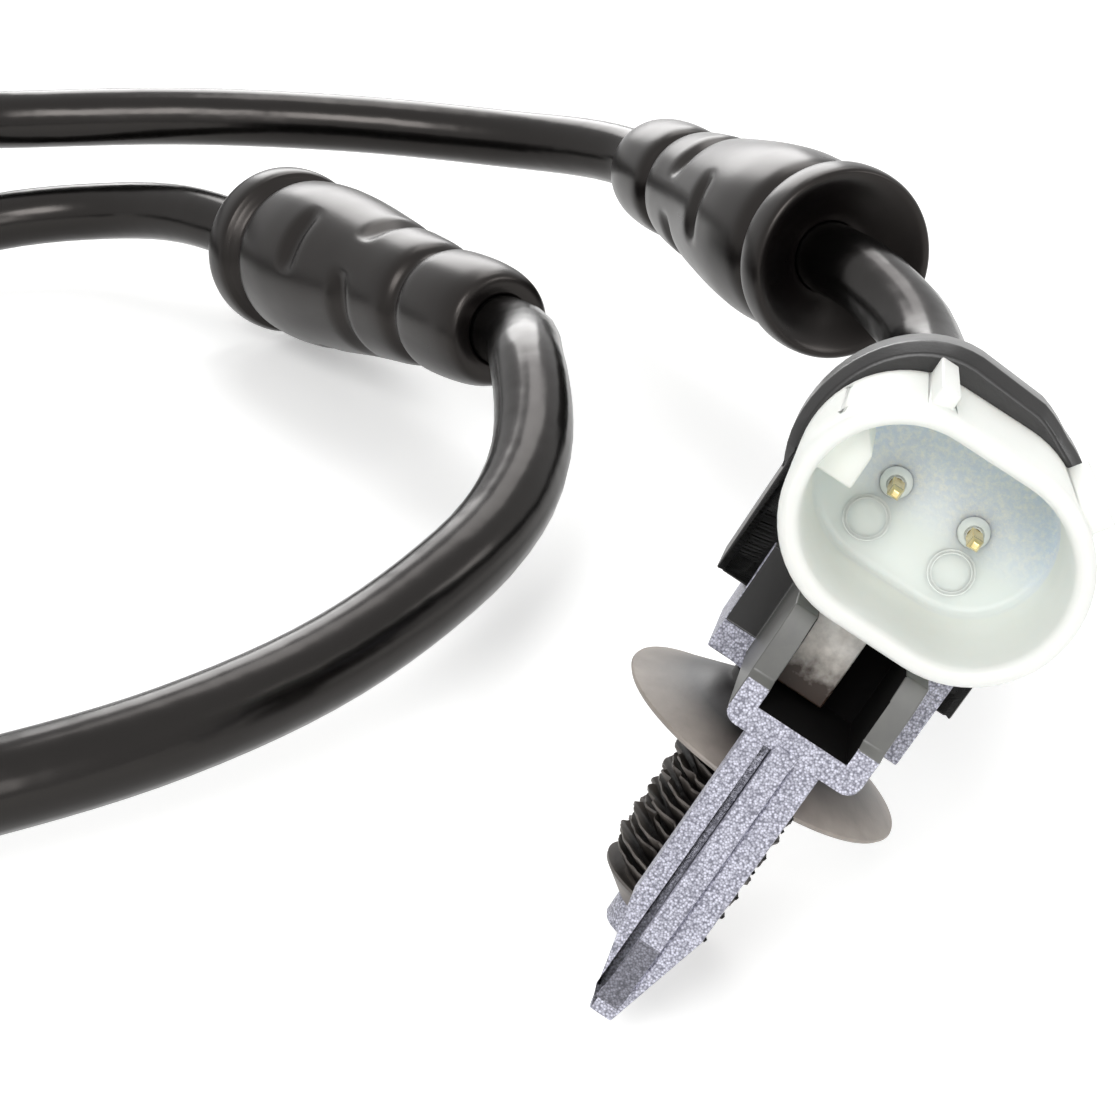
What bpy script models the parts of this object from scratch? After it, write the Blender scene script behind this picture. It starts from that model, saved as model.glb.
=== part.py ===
"""Brake pad wear sensor: a two-pin connector on a push-in clip, a jacketed cable through
two rubber grommets, and the sensor head. Lengths are in millimetres, turned into metres by MM.
The connector group is drawn in its own frame: x to the right, y back from the mouth, z up.
"""
import bpy
import bmesh
from math import cos, pi, radians, sin
from mathutils import Matrix, Vector

MM = 0.001
GAP = 0.3                   # clearance that touching pieces keep

# Shift of everything, so that the origin lies on the surface under the middle of the connector
FRAME_SHIFT = (-0.42, -3.13, 0.0)

# Pose of the connector: centre of its mouth, sideways tilt, upward look and turn
MOUTH_AT = (2.4, -11.8, 29.35)
TILT_DEG, LOOK_UP_DEG, TURN_DEG = 29.0, 15.5, -10.8

# Connector housing
MID_X = 0.3                 # plane of symmetry of the connector
SHROUD_HALF_W, SHROUD_HALF_H = 7.5, 5.55
SHROUD_DEPTH, SHROUD_WALL, SHROUD_DRAFT = 12.0, 1.0, 0.1
FLOOR_AT = 9.6              # depth of the floor that carries the pins
PLUG_STEP, PLUG_LENGTH = 0.9, 7.0
RIB_AT, RIB_WIDTH, RIB_HEIGHT = -3.0, 1.0, 0.7
LUG_ANGLE_DEG, LUG_WIDTH, LUG_HEIGHT = 56.0, 1.4, 1.4
KEY_WIDTH, KEY_HEIGHT, KEY_BOTTOM, KEY_FRONT = 2.35, 2.8, -0.2, 2.0
RING_MARK_R, RING_MARK_DROP, RING_MARK_PITCH = 1.1, 2.3, 5.05
RING_MARK_WIDTH, RING_MARK_DEPTH = 0.2, 0.15
TONGUE_WIDTH, TONGUE_THICK, TONGUE_BOTTOM = 2.6, 1.6, -10.6

# Terminals and cores
PIN_PITCH, PIN_SIDE, PIN_TIP_AT = 4.6, 0.64, 6.5
BARREL_R, BARREL_WALL, BARREL_LENGTH = 1.1, 0.35, 3.6
CORE_R, COPPER_R = 0.85, 0.42
SEAL_THICK = 1.6

# Rear shell
SLEEVE_WALL, SLEEVE_RISE, SLEEVE_LENGTH = 1.25, 1.0, 4.7
SHELL_TAPER, SHELL_BOSS_R, SHELL_BOSS_LENGTH = 6.0, 4.9, 4.6
SKIRT_THICK, SKIRT_BOTTOM = 1.55, -9.4
LIP_DEPTH, LIP_HEIGHT = 0.75, 0.7
WINDOW_TOP, WINDOW_BOTTOM, WINDOW_WIDTH = -5.4, -8.0, 0.9
BOOT_LENGTH, BOOT_R = 5.0, 4.1

# Clip base, its open channel and the locating blade
BASE_HALF_W, BASE_FRONT, BASE_BACK, BASE_BOTTOM = 5.45, 11.4, 19.0, -13.0
CHANNEL_MID = 0.6
CHANNEL_HALF_W, CHANNEL_WALL, CHANNEL_FRONT = 3.8, 1.3, 2.4
CHANNEL_TOP, CHANNEL_KINK, CHANNEL_FACET, CHANNEL_FLOOR = -6.9, -7.9, -10.2, 1.4
CHANNEL_CAVITY_BACK = 9.0
BLADE_MID, BLADE_HALF_W, BLADE_THICK, BLADE_SHOULDER, BLADE_END = 0.4, 2.1, 1.6, -23.6, -29.9
BLADE_TIP_HALF_W, BLADE_RIB_HALF_W, BLADE_RIB_PROUD = 0.65, 0.65, 0.45

# Fir-tree stud with its umbrella disc
STUD_Y = 13.0
STUD_CORE_R, STUD_HEAD_R, STUD_HEAD_THICK, STUD_NECK_R = 2.2, 3.0, 1.2, 2.3
DISC_R, DISC_TOP, DISC_DROP, DISC_THICK = 8.3, -14.0, 2.2, 0.5
FIN_R, FIN_COUNT, FIN_PITCH, FIN_FIRST = 3.9, 12, 0.7, -18.2
STUD_TIP_LENGTH, STUD_END_R = 3.1, 1.7

# Cable, its grommets and the route of its centreline
CABLE_D = 5.6
GROMMET_LENGTH = 39.0
GROMMET_A_FACE, GROMMET_A_AXIS = (7.5, 53.6, 18.6), (-0.331, 0.936, -0.1)
GROMMET_B_FACE, GROMMET_B_AXIS = (-40.5, 87.0, 8.1), (0.551, -0.825, 0.121)
TO_GROMMET_A = [(9.4, 25, 19.2), (10.9, 32, 17.6), (11.6, 38.5, 17.2), (10.9, 44.5, 18.0)]
BETWEEN_GROMMETS = [
    (-10.5, 97.5, 14.2), (-19, 103, 13.6), (-35, 106, 14.3), (-52, 105.2, 15.3),
    (-69.5, 104, 15.3), (-86, 107, 14.0), (-104, 111, 11.0), (-118, 107, 7.8),
    (-125, 95, 5.2), (-120, 82, 3.6), (-107, 78, 3.2), (-93, 84, 3.6),
    (-81, 93.5, 5.0), (-70.5, 99.6, 6.2), (-60, 100.6, 7.0), (-51, 96.6, 8.0),
]
AFTER_GROMMET_B = [
    (-16.7, 43.5, 14.6), (-16.2, 34.5, 13.2), (-17.3, 28, 11.7),
    (-20.5, 21.8, 10.1), (-28, 13.6, 8.0), (-37, 6.2, 7.3), (-47, 0.6, 7.1),
    (-60, -3.4, 6.2), (-76, -2.6, 4.6), (-91, 5, 3.9), (-100.5, 17, 3.9),
]

# Sensor head, lying flat with its cable axis along +y
HEAD_AT = (-104.0, 34.0, 0.0)
HEAD_WIDTH, HEAD_LENGTH, HEAD_HEIGHT = 12.0, 15.0, 7.8
NOSE_WIDTH, NOSE_LENGTH, NOSE_HEIGHT = 7.4, 9.0, 5.4
LOOP_R, LOOP_PITCH = 0.55, 3.4
CLIP_STRIP, CLIP_LENGTH, CLIP_LEG = 0.5, 7.0, 5.2
COLLAR_LENGTH, COLLAR_R = 6.0, 3.9

PLUG_HALF_W, PLUG_HALF_H = SHROUD_HALF_W - PLUG_STEP, SHROUD_HALF_H - PLUG_STEP
PLUG_END = SHROUD_DEPTH + PLUG_LENGTH
SLEEVE_HALF_W, SLEEVE_HALF_H = PLUG_HALF_W + GAP + SLEEVE_WALL, PLUG_HALF_H + GAP + SLEEVE_WALL
SLEEVE_FRONT = SHROUD_DEPTH + GAP
SLEEVE_BACK = SLEEVE_FRONT + SLEEVE_LENGTH
SEAL_FRONT = PLUG_END + GAP
SEAL_BACK = SEAL_FRONT + SEAL_THICK
TAPER_BACK = SLEEVE_BACK + SHELL_TAPER
SHELL_END = TAPER_BACK + SHELL_BOSS_LENGTH
CABLE_START = TAPER_BACK + 0.6
CABLE_BORE_R = CABLE_D / 2 + GAP
BASE_TOP = -SLEEVE_HALF_H - GAP
PIN_X = (MID_X - PIN_PITCH / 2, MID_X + PIN_PITCH / 2)
BARREL_FRONT = SHROUD_DEPTH + 1.3
BARREL_BACK = BARREL_FRONT + BARREL_LENGTH
CHAMBER_R = BARREL_R + GAP


for item in list(bpy.data.objects):
    bpy.data.objects.remove(item, do_unlink=True)


def plastic(name, colour, roughness, metallic=0.0):
    """Material with the part's colour, roughness and metallic value."""
    item = bpy.data.materials.new(name)
    item.use_nodes = True
    shader = item.node_tree.nodes["Principled BSDF"]
    shader.inputs["Base Color"].default_value = (*colour, 1)
    shader.inputs["Roughness"].default_value = roughness
    shader.inputs["Metallic"].default_value = metallic
    return item


def new_object(name, mesh, parent, material=None, smooth=False):
    """Object of a finished bmesh, placed under its frame."""
    bmesh.ops.recalc_face_normals(mesh, faces=mesh.faces)
    data = bpy.data.meshes.new(name)
    mesh.to_mesh(data)
    mesh.free()
    if smooth:
        data.shade_smooth()
    item = bpy.data.objects.new(name, data)
    bpy.context.collection.objects.link(item)
    item.parent = parent
    if material:
        data.materials.append(material)
    return item


def frame(name, matrix):
    """Empty that carries a group of pieces."""
    item = bpy.data.objects.new(name, None)
    bpy.context.collection.objects.link(item)
    item.matrix_world = matrix
    return item


def boolean(item, tool, operation):
    """Boolean of a hidden tool body on a piece."""
    tool.hide_render = True
    tool.display_type = "WIRE"
    step = item.modifiers.new(operation.title(), "BOOLEAN")
    step.operation = operation
    step.solver = "EXACT"
    step.object = tool


def stadium(half_w, half_h, steps=10):
    """Outline with straight top and bottom and round ends, about the symmetry plane."""
    flat = half_w - half_h
    right = [(flat + half_h * cos(a), half_h * sin(a))
             for a in (pi * (i / steps - 0.5) for i in range(steps + 1))]
    return [(MID_X + x, z) for x, z in right] + [(MID_X - x, -z) for x, z in right]


def loft(sections):
    """Closed body through outlines (x, z) of equal length, at depths y."""
    mesh = bmesh.new()
    rings = [[mesh.verts.new((x * MM, y * MM, z * MM)) for x, z in outline] for y, outline in sections]
    for front, back in zip(rings, rings[1:]):
        for i in range(len(front)):
            j = (i + 1) % len(front)
            mesh.faces.new((front[i], front[j], back[j], back[i]))
    mesh.faces.new(rings[0])
    mesh.faces.new(rings[-1])
    return mesh


def prism(outline, low, high, axis="y"):
    """Outline extruded along one axis; its points are the other two coordinates in order."""
    turns = {"x": (2, 0, 1), "y": (0, 2, 1), "z": (0, 1, 2)}[axis]
    mesh = bmesh.new()
    ends = [
        [mesh.verts.new([(a, b, t)[k] * MM for k in turns]) for a, b in outline] for t in (low, high)
    ]
    for i in range(len(outline)):
        j = (i + 1) % len(outline)
        mesh.faces.new((ends[0][i], ends[0][j], ends[1][j], ends[1][i]))
    mesh.faces.new(ends[0])
    mesh.faces.new(ends[1])
    return mesh


def block(x, y, z):
    """Box between pairs of limits."""
    return prism([(x[0], z[0]), (x[1], z[0]), (x[1], z[1]), (x[0], z[1])], y[0], y[1])


def turned(profile, matrix, segments=40):
    """Body turned about local z from points (radius, z); it closes on itself or on the axis."""
    mesh = bmesh.new()
    rings = []
    for r, z in profile:
        angles = [2 * pi * i / segments for i in range(segments if r else 1)]
        rings.append([mesh.verts.new((r * cos(a) * MM, r * sin(a) * MM, z * MM)) for a in angles])
    closed = profile[0][0] > 0
    for low, high in zip(rings, rings[1:] + rings[:1] if closed else rings[1:]):
        for i in range(segments):
            j = i + 1
            corners = (low[i % len(low)], low[j % len(low)], high[j % len(high)], high[i % len(high)])
            mesh.faces.new(list(dict.fromkeys(corners)))
    mesh.transform(matrix)
    return mesh


def along(point, direction):
    """Matrix that lays local z along a direction from a point in millimetres."""
    turn = Vector(direction).to_track_quat("Z", "Y").to_matrix().to_4x4()
    return Matrix.Translation(Vector(point) * MM) @ turn


def rod(radius, start, length, direction, bore=0.0, segments=20):
    """Round bar, or a tube where it has a bore."""
    if bore:
        profile = [(bore, 0), (radius, 0), (radius, length), (bore, length)]
    else:
        profile = [(0, 0), (radius, 0), (radius, length), (0, length)]
    return turned(profile, along(start, direction), segments)


def wire(name, points, radius, parent, material, resolution=2):
    """Round wire or cable through points, with closed ends."""
    data = bpy.data.curves.new(name, "CURVE")
    data.dimensions = "3D"
    line = data.splines.new("POLY")
    line.points.add(len(points) - 1)
    for knot, point in zip(line.points, points):
        knot.co = (*(Vector(point) * MM), 1)
    data.bevel_depth = radius * MM
    data.bevel_resolution = resolution
    data.use_fill_caps = True
    item = bpy.data.objects.new(name, data)
    bpy.context.collection.objects.link(item)
    item.parent = parent
    data.materials.append(material)
    return item


def smooth_line(points, tangents, step):
    """Points along a smooth curve through the route; a tangent of None follows its neighbours."""
    points = [Vector(p) for p in points]
    last = len(points) - 1
    ways = [
        Vector(t).normalized() if t else (points[min(i + 1, last)] - points[max(i - 1, 0)]).normalized()
        for i, t in enumerate(tangents)
    ]
    out = [points[0]]
    for a, b, ta, tb in zip(points, points[1:], ways, ways[1:]):
        span = (b - a).length
        count = max(1, round(span / step))
        for k in range(1, count + 1):
            u = k / count
            out.append(
                a * (2 * u**3 - 3 * u**2 + 1) + ta * span * (u**3 - 2 * u**2 + u)
                + b * (3 * u**2 - 2 * u**3) + tb * span * (u**3 - u**2)
            )
    return out


NATURAL_NYLON = plastic("natural_nylon", (0.72, 0.78, 0.72), 0.35)
BLACK_NYLON = plastic("black_nylon", (0.035, 0.033, 0.032), 0.5)
GREY_NYLON = plastic("grey_glass_filled_nylon", (0.16, 0.16, 0.17), 0.55)
GOLD_BRASS = plastic("gold_plated_brass", (0.85, 0.65, 0.28), 0.25, 1.0)
COPPER = plastic("copper", (0.72, 0.38, 0.25), 0.3, 1.0)
CORE_PVC = plastic("core_insulation", (0.3, 0.16, 0.08), 0.45)
SILICONE = plastic("silicone_rubber", (0.35, 0.12, 0.05), 0.6)
JACKET_PVC = plastic("black_cable_jacket", (0.012, 0.012, 0.013), 0.18)
BLACK_RUBBER = plastic("black_rubber", (0.03, 0.029, 0.03), 0.55)
SPRING_STEEL = plastic("spring_steel", (0.55, 0.55, 0.56), 0.3, 1.0)

connector = frame(
    "connector_frame",
    Matrix.Translation((Vector(MOUTH_AT) + Vector(FRAME_SHIFT)) * MM)
    @ Matrix.Rotation(radians(TURN_DEG), 4, "Z")
    @ Matrix.Rotation(radians(-LOOK_UP_DEG), 4, "X")
    @ Matrix.Rotation(radians(TILT_DEG), 4, "Y"),
)
table = frame("table_frame", Matrix.Translation(Vector(FRAME_SHIFT) * MM))
BACK = (0, 1, 0)


def make_housing():
    """Shroud, pin floor, rear plug and guide tongue: one moulding in natural nylon."""
    outer = stadium(SHROUD_HALF_W, SHROUD_HALF_H)
    plug = stadium(PLUG_HALF_W, PLUG_HALF_H)
    soft_rim = stadium(SHROUD_HALF_W - 0.25, SHROUD_HALF_H - 0.25)
    body = new_object("connector_housing", loft([
        (0, soft_rim), (0.25, outer), (SHROUD_DEPTH, outer), (SHROUD_DEPTH, plug), (PLUG_END, plug),
    ]), connector, NATURAL_NYLON)
    inner = stadium(SHROUD_HALF_W - SHROUD_WALL, SHROUD_HALF_H - SHROUD_WALL)
    narrow = SHROUD_WALL + SHROUD_DRAFT
    deep = stadium(SHROUD_HALF_W - narrow, SHROUD_HALF_H - narrow)
    boolean(body, new_object("mouth_cut", loft([(-1, inner), (FLOOR_AT, deep)]), connector), "DIFFERENCE")
    for side, x in enumerate(PIN_X):
        bore = PIN_SIDE * 0.71 + GAP
        tool = rod(bore, (x, FLOOR_AT - 3, 0), PLUG_END, BACK)
        boolean(body, new_object(f"pin_bore_cut_{side}", tool, connector), "DIFFERENCE")
        tool = rod(CHAMBER_R, (x, BARREL_FRONT - GAP, 0), PLUG_END, BACK)
        boolean(body, new_object(f"chamber_cut_{side}", tool, connector), "DIFFERENCE")
        mark_x = MID_X + (side - 0.5) * RING_MARK_PITCH
        mark = (mark_x, FLOOR_AT - 1, -RING_MARK_DROP)
        tool = rod(RING_MARK_R, mark, 1 + RING_MARK_DEPTH, BACK, RING_MARK_R - RING_MARK_WIDTH)
        boolean(body, new_object(f"ring_mark_cut_{side}", tool, connector), "DIFFERENCE")
    top = SHROUD_HALF_H
    along_body = (1.2, SHROUD_DEPTH - 0.2)
    rib = block((RIB_AT - RIB_WIDTH / 2, RIB_AT + RIB_WIDTH / 2), along_body, (top - 0.5, top + RIB_HEIGHT))
    boolean(body, new_object("rib_join", rib, connector), "UNION")
    lug = block((-LUG_WIDTH / 2, LUG_WIDTH / 2), along_body, (top - 0.5, top + LUG_HEIGHT))
    lug.transform(Matrix.Rotation(radians(90 - LUG_ANGLE_DEG), 4, "Y"))
    lug.transform(Matrix.Translation(((MID_X + SHROUD_HALF_W - SHROUD_HALF_H) * MM, 0, 0)))
    boolean(body, new_object("lug_join", lug, connector), "UNION")
    left = MID_X - SHROUD_HALF_W + SHROUD_WALL - 0.4
    key = block((left, left + KEY_WIDTH), (KEY_FRONT, FLOOR_AT + 0.5), (KEY_BOTTOM, KEY_BOTTOM + KEY_HEIGHT))
    boolean(body, new_object("key_join", key, connector), "UNION")
    tongue = block(
        (CHANNEL_MID - TONGUE_WIDTH / 2 - 0.4, CHANNEL_MID + TONGUE_WIDTH / 2 - 0.4),
        (CHANNEL_CAVITY_BACK - 1.0 - TONGUE_THICK, CHANNEL_CAVITY_BACK - 1.0),
        (TONGUE_BOTTOM, -top + SHROUD_WALL / 2),
    )
    boolean(body, new_object("tongue_join", tongue, connector), "UNION")


def make_terminal(side):
    """Square pin with its crimp barrel."""
    x = PIN_X[side]
    half = PIN_SIDE / 2
    tip = 0.55
    square = [(-half, -half), (half, -half), (half, half), (-half, half)]
    small = [(x + a * tip, b * tip) for a, b in square]
    full = [(x + a, b) for a, b in square]
    pin = loft([(PIN_TIP_AT, small), (PIN_TIP_AT + 0.5, full), (BARREL_FRONT + 0.6, full)])
    body = new_object(f"terminal_pin_{side + 1}", pin, connector, GOLD_BRASS)
    barrel = rod(BARREL_R, (x, BARREL_FRONT, 0), BARREL_LENGTH, BACK)
    boolean(body, new_object(f"barrel_join_{side}", barrel, connector), "UNION")
    hollow = rod(BARREL_R - BARREL_WALL, (x, BARREL_FRONT + 0.8, 0), BARREL_LENGTH, BACK)
    boolean(body, new_object(f"barrel_cut_{side}", hollow, connector), "DIFFERENCE")


def make_core(side):
    """Insulated core from the cable to its barrel, and the bare copper inside the barrel."""
    x = PIN_X[side]
    start = MID_X + (x - MID_X) * 0.45
    bend = BARREL_BACK + GAP
    points = [
        (x, bend, 0), (x, SEAL_BACK + 0.2, 0), (x * 0.75 + start * 0.25, SEAL_BACK + 0.9, 0),
        (x * 0.25 + start * 0.75, CABLE_START - 1.1, 0), (start, CABLE_START - GAP, 0),
    ]
    wire(f"core_{side + 1}", points, CORE_R, connector, CORE_PVC, 1)
    length = BARREL_BACK - BARREL_FRONT - 1.1
    copper = rod(COPPER_R, (x, BARREL_FRONT + 1.1, 0), length, BACK, segments=12)
    new_object(f"copper_end_{side + 1}", copper, connector, COPPER, smooth=False)


def make_wire_seal():
    """Soft mat seal behind the plug, with a hole for each core."""
    outline = stadium(PLUG_HALF_W, PLUG_HALF_H)
    body = new_object("wire_seal", loft([(SEAL_FRONT, outline), (SEAL_BACK, outline)]), connector, SILICONE)
    for side, x in enumerate(PIN_X):
        tool = rod(CORE_R + GAP, (x, SEAL_FRONT - 1, 0), SEAL_THICK + 2, BACK)
        boolean(body, new_object(f"seal_hole_cut_{side}", tool, connector), "DIFFERENCE")


def make_rear_shell():
    """Black shell behind the mouth: sleeve, tapered cable exit and two side skirts."""
    rise = (SLEEVE_HALF_H + SLEEVE_RISE) / SLEEVE_HALF_H
    outer = [(x, z * rise if z > 0 else z) for x, z in stadium(SLEEVE_HALF_W, SLEEVE_HALF_H)]
    boss = stadium(SHELL_BOSS_R + 0.01, SHELL_BOSS_R)
    body = new_object("rear_shell", loft([
        (SLEEVE_FRONT, outer), (SLEEVE_BACK, outer), (TAPER_BACK, boss), (SHELL_END, boss),
    ]), connector, BLACK_NYLON)
    for sign in (-1, 1):
        inner = MID_X + sign * (BASE_HALF_W + GAP)
        side = sorted((inner, inner + sign * SKIRT_THICK))
        skirt = block(side, (SLEEVE_FRONT, SLEEVE_BACK), (SKIRT_BOTTOM, 0))
        boolean(body, new_object(f"skirt_join_{sign + 1}", skirt, connector), "UNION")
        lip = block(sorted((inner + sign * 0.3, inner - sign * LIP_DEPTH)), (SLEEVE_FRONT, SLEEVE_BACK),
                    (SKIRT_BOTTOM, SKIRT_BOTTOM + LIP_HEIGHT))
        boolean(body, new_object(f"lip_join_{sign + 1}", lip, connector), "UNION")
        window = block(sorted((inner - sign * 0.2, inner + sign * WINDOW_WIDTH)),
                       (SLEEVE_FRONT - 1, SLEEVE_BACK - 1.2), (WINDOW_BOTTOM, WINDOW_TOP))
        boolean(body, new_object(f"window_cut_{sign + 1}", window, connector), "DIFFERENCE")
    room = stadium(PLUG_HALF_W + GAP, PLUG_HALF_H + GAP)
    narrow = stadium(SHELL_BOSS_R - 1.2, SHELL_BOSS_R - 1.25)
    cut = loft([(SLEEVE_FRONT - 1, room), (SEAL_BACK + GAP, room), (TAPER_BACK, narrow)])
    boolean(body, new_object("shell_room_cut", cut, connector), "DIFFERENCE")
    bore = rod(CABLE_BORE_R, (MID_X, TAPER_BACK - 1, 0), SHELL_BOSS_LENGTH + 2, BACK, segments=32)
    boolean(body, new_object("shell_bore_cut", bore, connector), "DIFFERENCE")


def make_strain_relief():
    """Short rubber boot around the cable behind the shell."""
    front = SHELL_END + GAP
    profile = [(CABLE_BORE_R, 0), (BOOT_R, 0), (BOOT_R, 1.2), (BOOT_R - 0.45, 1.6), (BOOT_R - 0.45, 2.2),
               (BOOT_R - 0.1, 2.6), (BOOT_R - 0.1, 3.4), (BOOT_R - 0.5, 3.8), (BOOT_R - 0.5, BOOT_LENGTH),
               (CABLE_BORE_R, BOOT_LENGTH)]
    mesh = turned(profile, along((MID_X, front, 0), BACK), 32)
    new_object("strain_relief", mesh, connector, BLACK_RUBBER, smooth=True)


def make_clip_base():
    """Grey moulding: block between the skirts, open channel in front and the locating blade."""
    width = (MID_X - BASE_HALF_W, MID_X + BASE_HALF_W)
    base = block(width, (BASE_FRONT, BASE_BACK), (BASE_BOTTOM, BASE_TOP))
    body = new_object("clip_base", base, connector, GREY_NYLON)
    front, back = CHANNEL_FRONT, BASE_FRONT + 0.4
    side_view = [(front + 1.1, CHANNEL_TOP), (front + 0.55, CHANNEL_KINK), (front + 0.4, CHANNEL_FACET),
                 (front, CHANNEL_FACET - 0.4), (front, BASE_BOTTOM), (back, BASE_BOTTOM), (back, CHANNEL_TOP)]
    limits = (CHANNEL_MID - CHANNEL_HALF_W, CHANNEL_MID + CHANNEL_HALF_W)
    channel = new_object("channel_join", prism(side_view, *limits, axis="x"), connector)
    boolean(body, channel, "UNION")
    for sign in (-1, 1):
        edge = CHANNEL_MID + sign * CHANNEL_HALF_W
        corner = [(edge + sign, BASE_BOTTOM - 1), (edge + sign, BASE_BOTTOM + 0.9),
                  (edge, BASE_BOTTOM + 0.9), (edge - sign * 0.9, BASE_BOTTOM),
                  (edge - sign * 0.9, BASE_BOTTOM - 1)]
        tool = new_object(f"corner_cut_{sign + 1}", prism(corner, front - 1, BASE_FRONT), connector)
        boolean(body, tool, "DIFFERENCE")
        groove = block(
            sorted((MID_X + sign * (BASE_HALF_W + 1), MID_X + sign * (BASE_HALF_W + GAP - LIP_DEPTH - GAP))),
            (SLEEVE_FRONT - GAP, BASE_BACK + 1),
            (SKIRT_BOTTOM - GAP, SKIRT_BOTTOM + LIP_HEIGHT + GAP),
        )
        boolean(body, new_object(f"lip_groove_cut_{sign + 1}", groove, connector), "DIFFERENCE")
    room = (CHANNEL_MID - CHANNEL_HALF_W + CHANNEL_WALL, CHANNEL_MID + CHANNEL_HALF_W - CHANNEL_WALL)
    cavity = block(room, (front - 1, CHANNEL_CAVITY_BACK), (BASE_BOTTOM + CHANNEL_FLOOR, 0))
    boolean(body, new_object("channel_cut", cavity, connector), "DIFFERENCE")
    slot_top = BASE_BOTTOM + 0.9 + STUD_HEAD_THICK + 2 * GAP
    neck = block((MID_X - STUD_NECK_R - GAP, MID_X + STUD_NECK_R + GAP),
                 (STUD_Y - STUD_NECK_R - GAP, BASE_BACK + 1), (BASE_BOTTOM - 2, slot_top - 0.5))
    boolean(body, new_object("neck_slot_cut", neck, connector), "DIFFERENCE")
    head = block((MID_X - STUD_HEAD_R - GAP, MID_X + STUD_HEAD_R + GAP),
                 (STUD_Y - STUD_HEAD_R - GAP, BASE_BACK + 1), (BASE_BOTTOM + 0.9, slot_top))
    boolean(body, new_object("head_slot_cut", head, connector), "DIFFERENCE")
    blade_front = front + 0.2
    half, tip = BLADE_HALF_W, BLADE_TIP_HALF_W
    outline = [(-half, BASE_BOTTOM + 0.6), (half, BASE_BOTTOM + 0.6), (half, BLADE_SHOULDER),
               (tip, BLADE_END), (-tip, BLADE_END), (-half, BLADE_SHOULDER)]
    blade = prism([(BLADE_MID + x, z) for x, z in outline], blade_front, blade_front + BLADE_THICK)
    boolean(body, new_object("blade_join", blade, connector), "UNION")
    rib = BLADE_RIB_HALF_W
    proud = blade_front - BLADE_RIB_PROUD
    side_view = [(blade_front + 0.4, BASE_BOTTOM + 0.4), (proud, BASE_BOTTOM + 0.4),
                 (proud, BLADE_SHOULDER - 2.6), (blade_front + 0.05, BLADE_END + 0.3),
                 (blade_front + 0.4, BLADE_END + 0.3)]
    mesh = prism(side_view, BLADE_MID - rib + 0.05, BLADE_MID + rib + 0.05, axis="x")
    boolean(body, new_object("blade_rib_join", mesh, connector), "UNION")
    groove = block((BLADE_MID - rib - 0.3, BLADE_MID + 0.05 - rib), (blade_front - 1, blade_front + 0.5),
                   (BLADE_END + 1.5, BASE_BOTTOM - 0.02))
    boolean(body, new_object("blade_groove_cut", groove, connector), "DIFFERENCE")


def make_stud():
    """Push-in stud: head in the base's slot, umbrella disc, conical fins and a blunt tip."""
    head_top = BASE_BOTTOM + 0.9 + GAP + STUD_HEAD_THICK
    rim = DISC_TOP - DISC_DROP
    profile = [(0, head_top), (STUD_HEAD_R, head_top), (STUD_HEAD_R, head_top - STUD_HEAD_THICK),
               (STUD_NECK_R, head_top - STUD_HEAD_THICK), (STUD_NECK_R, BASE_BOTTOM - GAP),
               (STUD_NECK_R + 1.2, BASE_BOTTOM - GAP), (STUD_NECK_R + 1.2, DISC_TOP),
               (DISC_R - 0.3, rim + 0.12), (DISC_R, rim),
               (DISC_R - 0.1, rim - DISC_THICK * 0.6), (STUD_NECK_R + 1.2, DISC_TOP - DISC_THICK * 1.6),
               (STUD_CORE_R + 0.3, DISC_TOP - DISC_THICK * 2.6), (STUD_CORE_R, DISC_TOP - DISC_THICK * 4)]
    for number in range(FIN_COUNT):
        z = FIN_FIRST - number * FIN_PITCH
        profile += [(STUD_CORE_R, z + 0.05), (FIN_R - 0.05, z + 0.42), (FIN_R, z + 0.25),
                    (STUD_CORE_R, z - 0.32)]
    last = FIN_FIRST - FIN_COUNT * FIN_PITCH
    end = last - STUD_TIP_LENGTH
    profile += [(STUD_CORE_R, last + 0.1), (FIN_R - 0.4, last - 0.2), (STUD_END_R, last - 1.4),
                (STUD_END_R, end + 0.3), (STUD_END_R - 0.4, end), (0, end)]
    mesh = turned(profile, Matrix.Translation((MID_X * MM, STUD_Y * MM, 0)), 36)
    new_object("fir_tree_stud", mesh, connector, BLACK_NYLON, smooth=True)


def make_grommet(name, face, axis):
    """Rubber grommet: cupped flange, bulged body, ribbed neck and end collar around the cable."""
    bore = CABLE_BORE_R
    profile = [
        (bore, 2.4), (4.2, 2.1), (5.6, 1.1), (6.5, 0.2), (7.1, 0), (7.5, 0.5), (7.6, 1.6), (7.5, 2.7),
        (7.1, 3.4), (6.85, 3.9), (6.95, 4.5), (7.15, 6.5), (7.2, 9.5), (7.05, 12.5), (6.75, 15.5),
        (6.35, 18.5), (5.95, 21.5), (5.65, 24.5), (5.4, 27.2), (5.1, 28.8), (4.7, 29.5), (4.7, 30.3),
        (5.0, 31), (5.15, 32.5), (5.1, 35.5), (4.8, 37.8), (4.2, GROMMET_LENGTH), (bore, GROMMET_LENGTH),
    ]
    place = along(face, axis)
    body = new_object(name, turned(profile, place, 36), table, BLACK_RUBBER, smooth=True)
    rings = ((12.0, 7.0, 3, 70), (22.5, 5.8, 4, 25), (27.5, 5.3, 3, 50))
    for ring, (height, radius, count, first) in enumerate(rings):
        for number in range(count):
            slot = block((-1.6, 1.6), (radius - 0.8, radius + 2), (height - 0.5, height + 0.5))
            turn = Matrix.Rotation(radians(first + number * 360 / count), 4, "Z")
            slot.transform(place @ turn)
            boolean(body, new_object(f"{name}_slot_cut_{ring}_{number}", slot, table), "DIFFERENCE")


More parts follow.
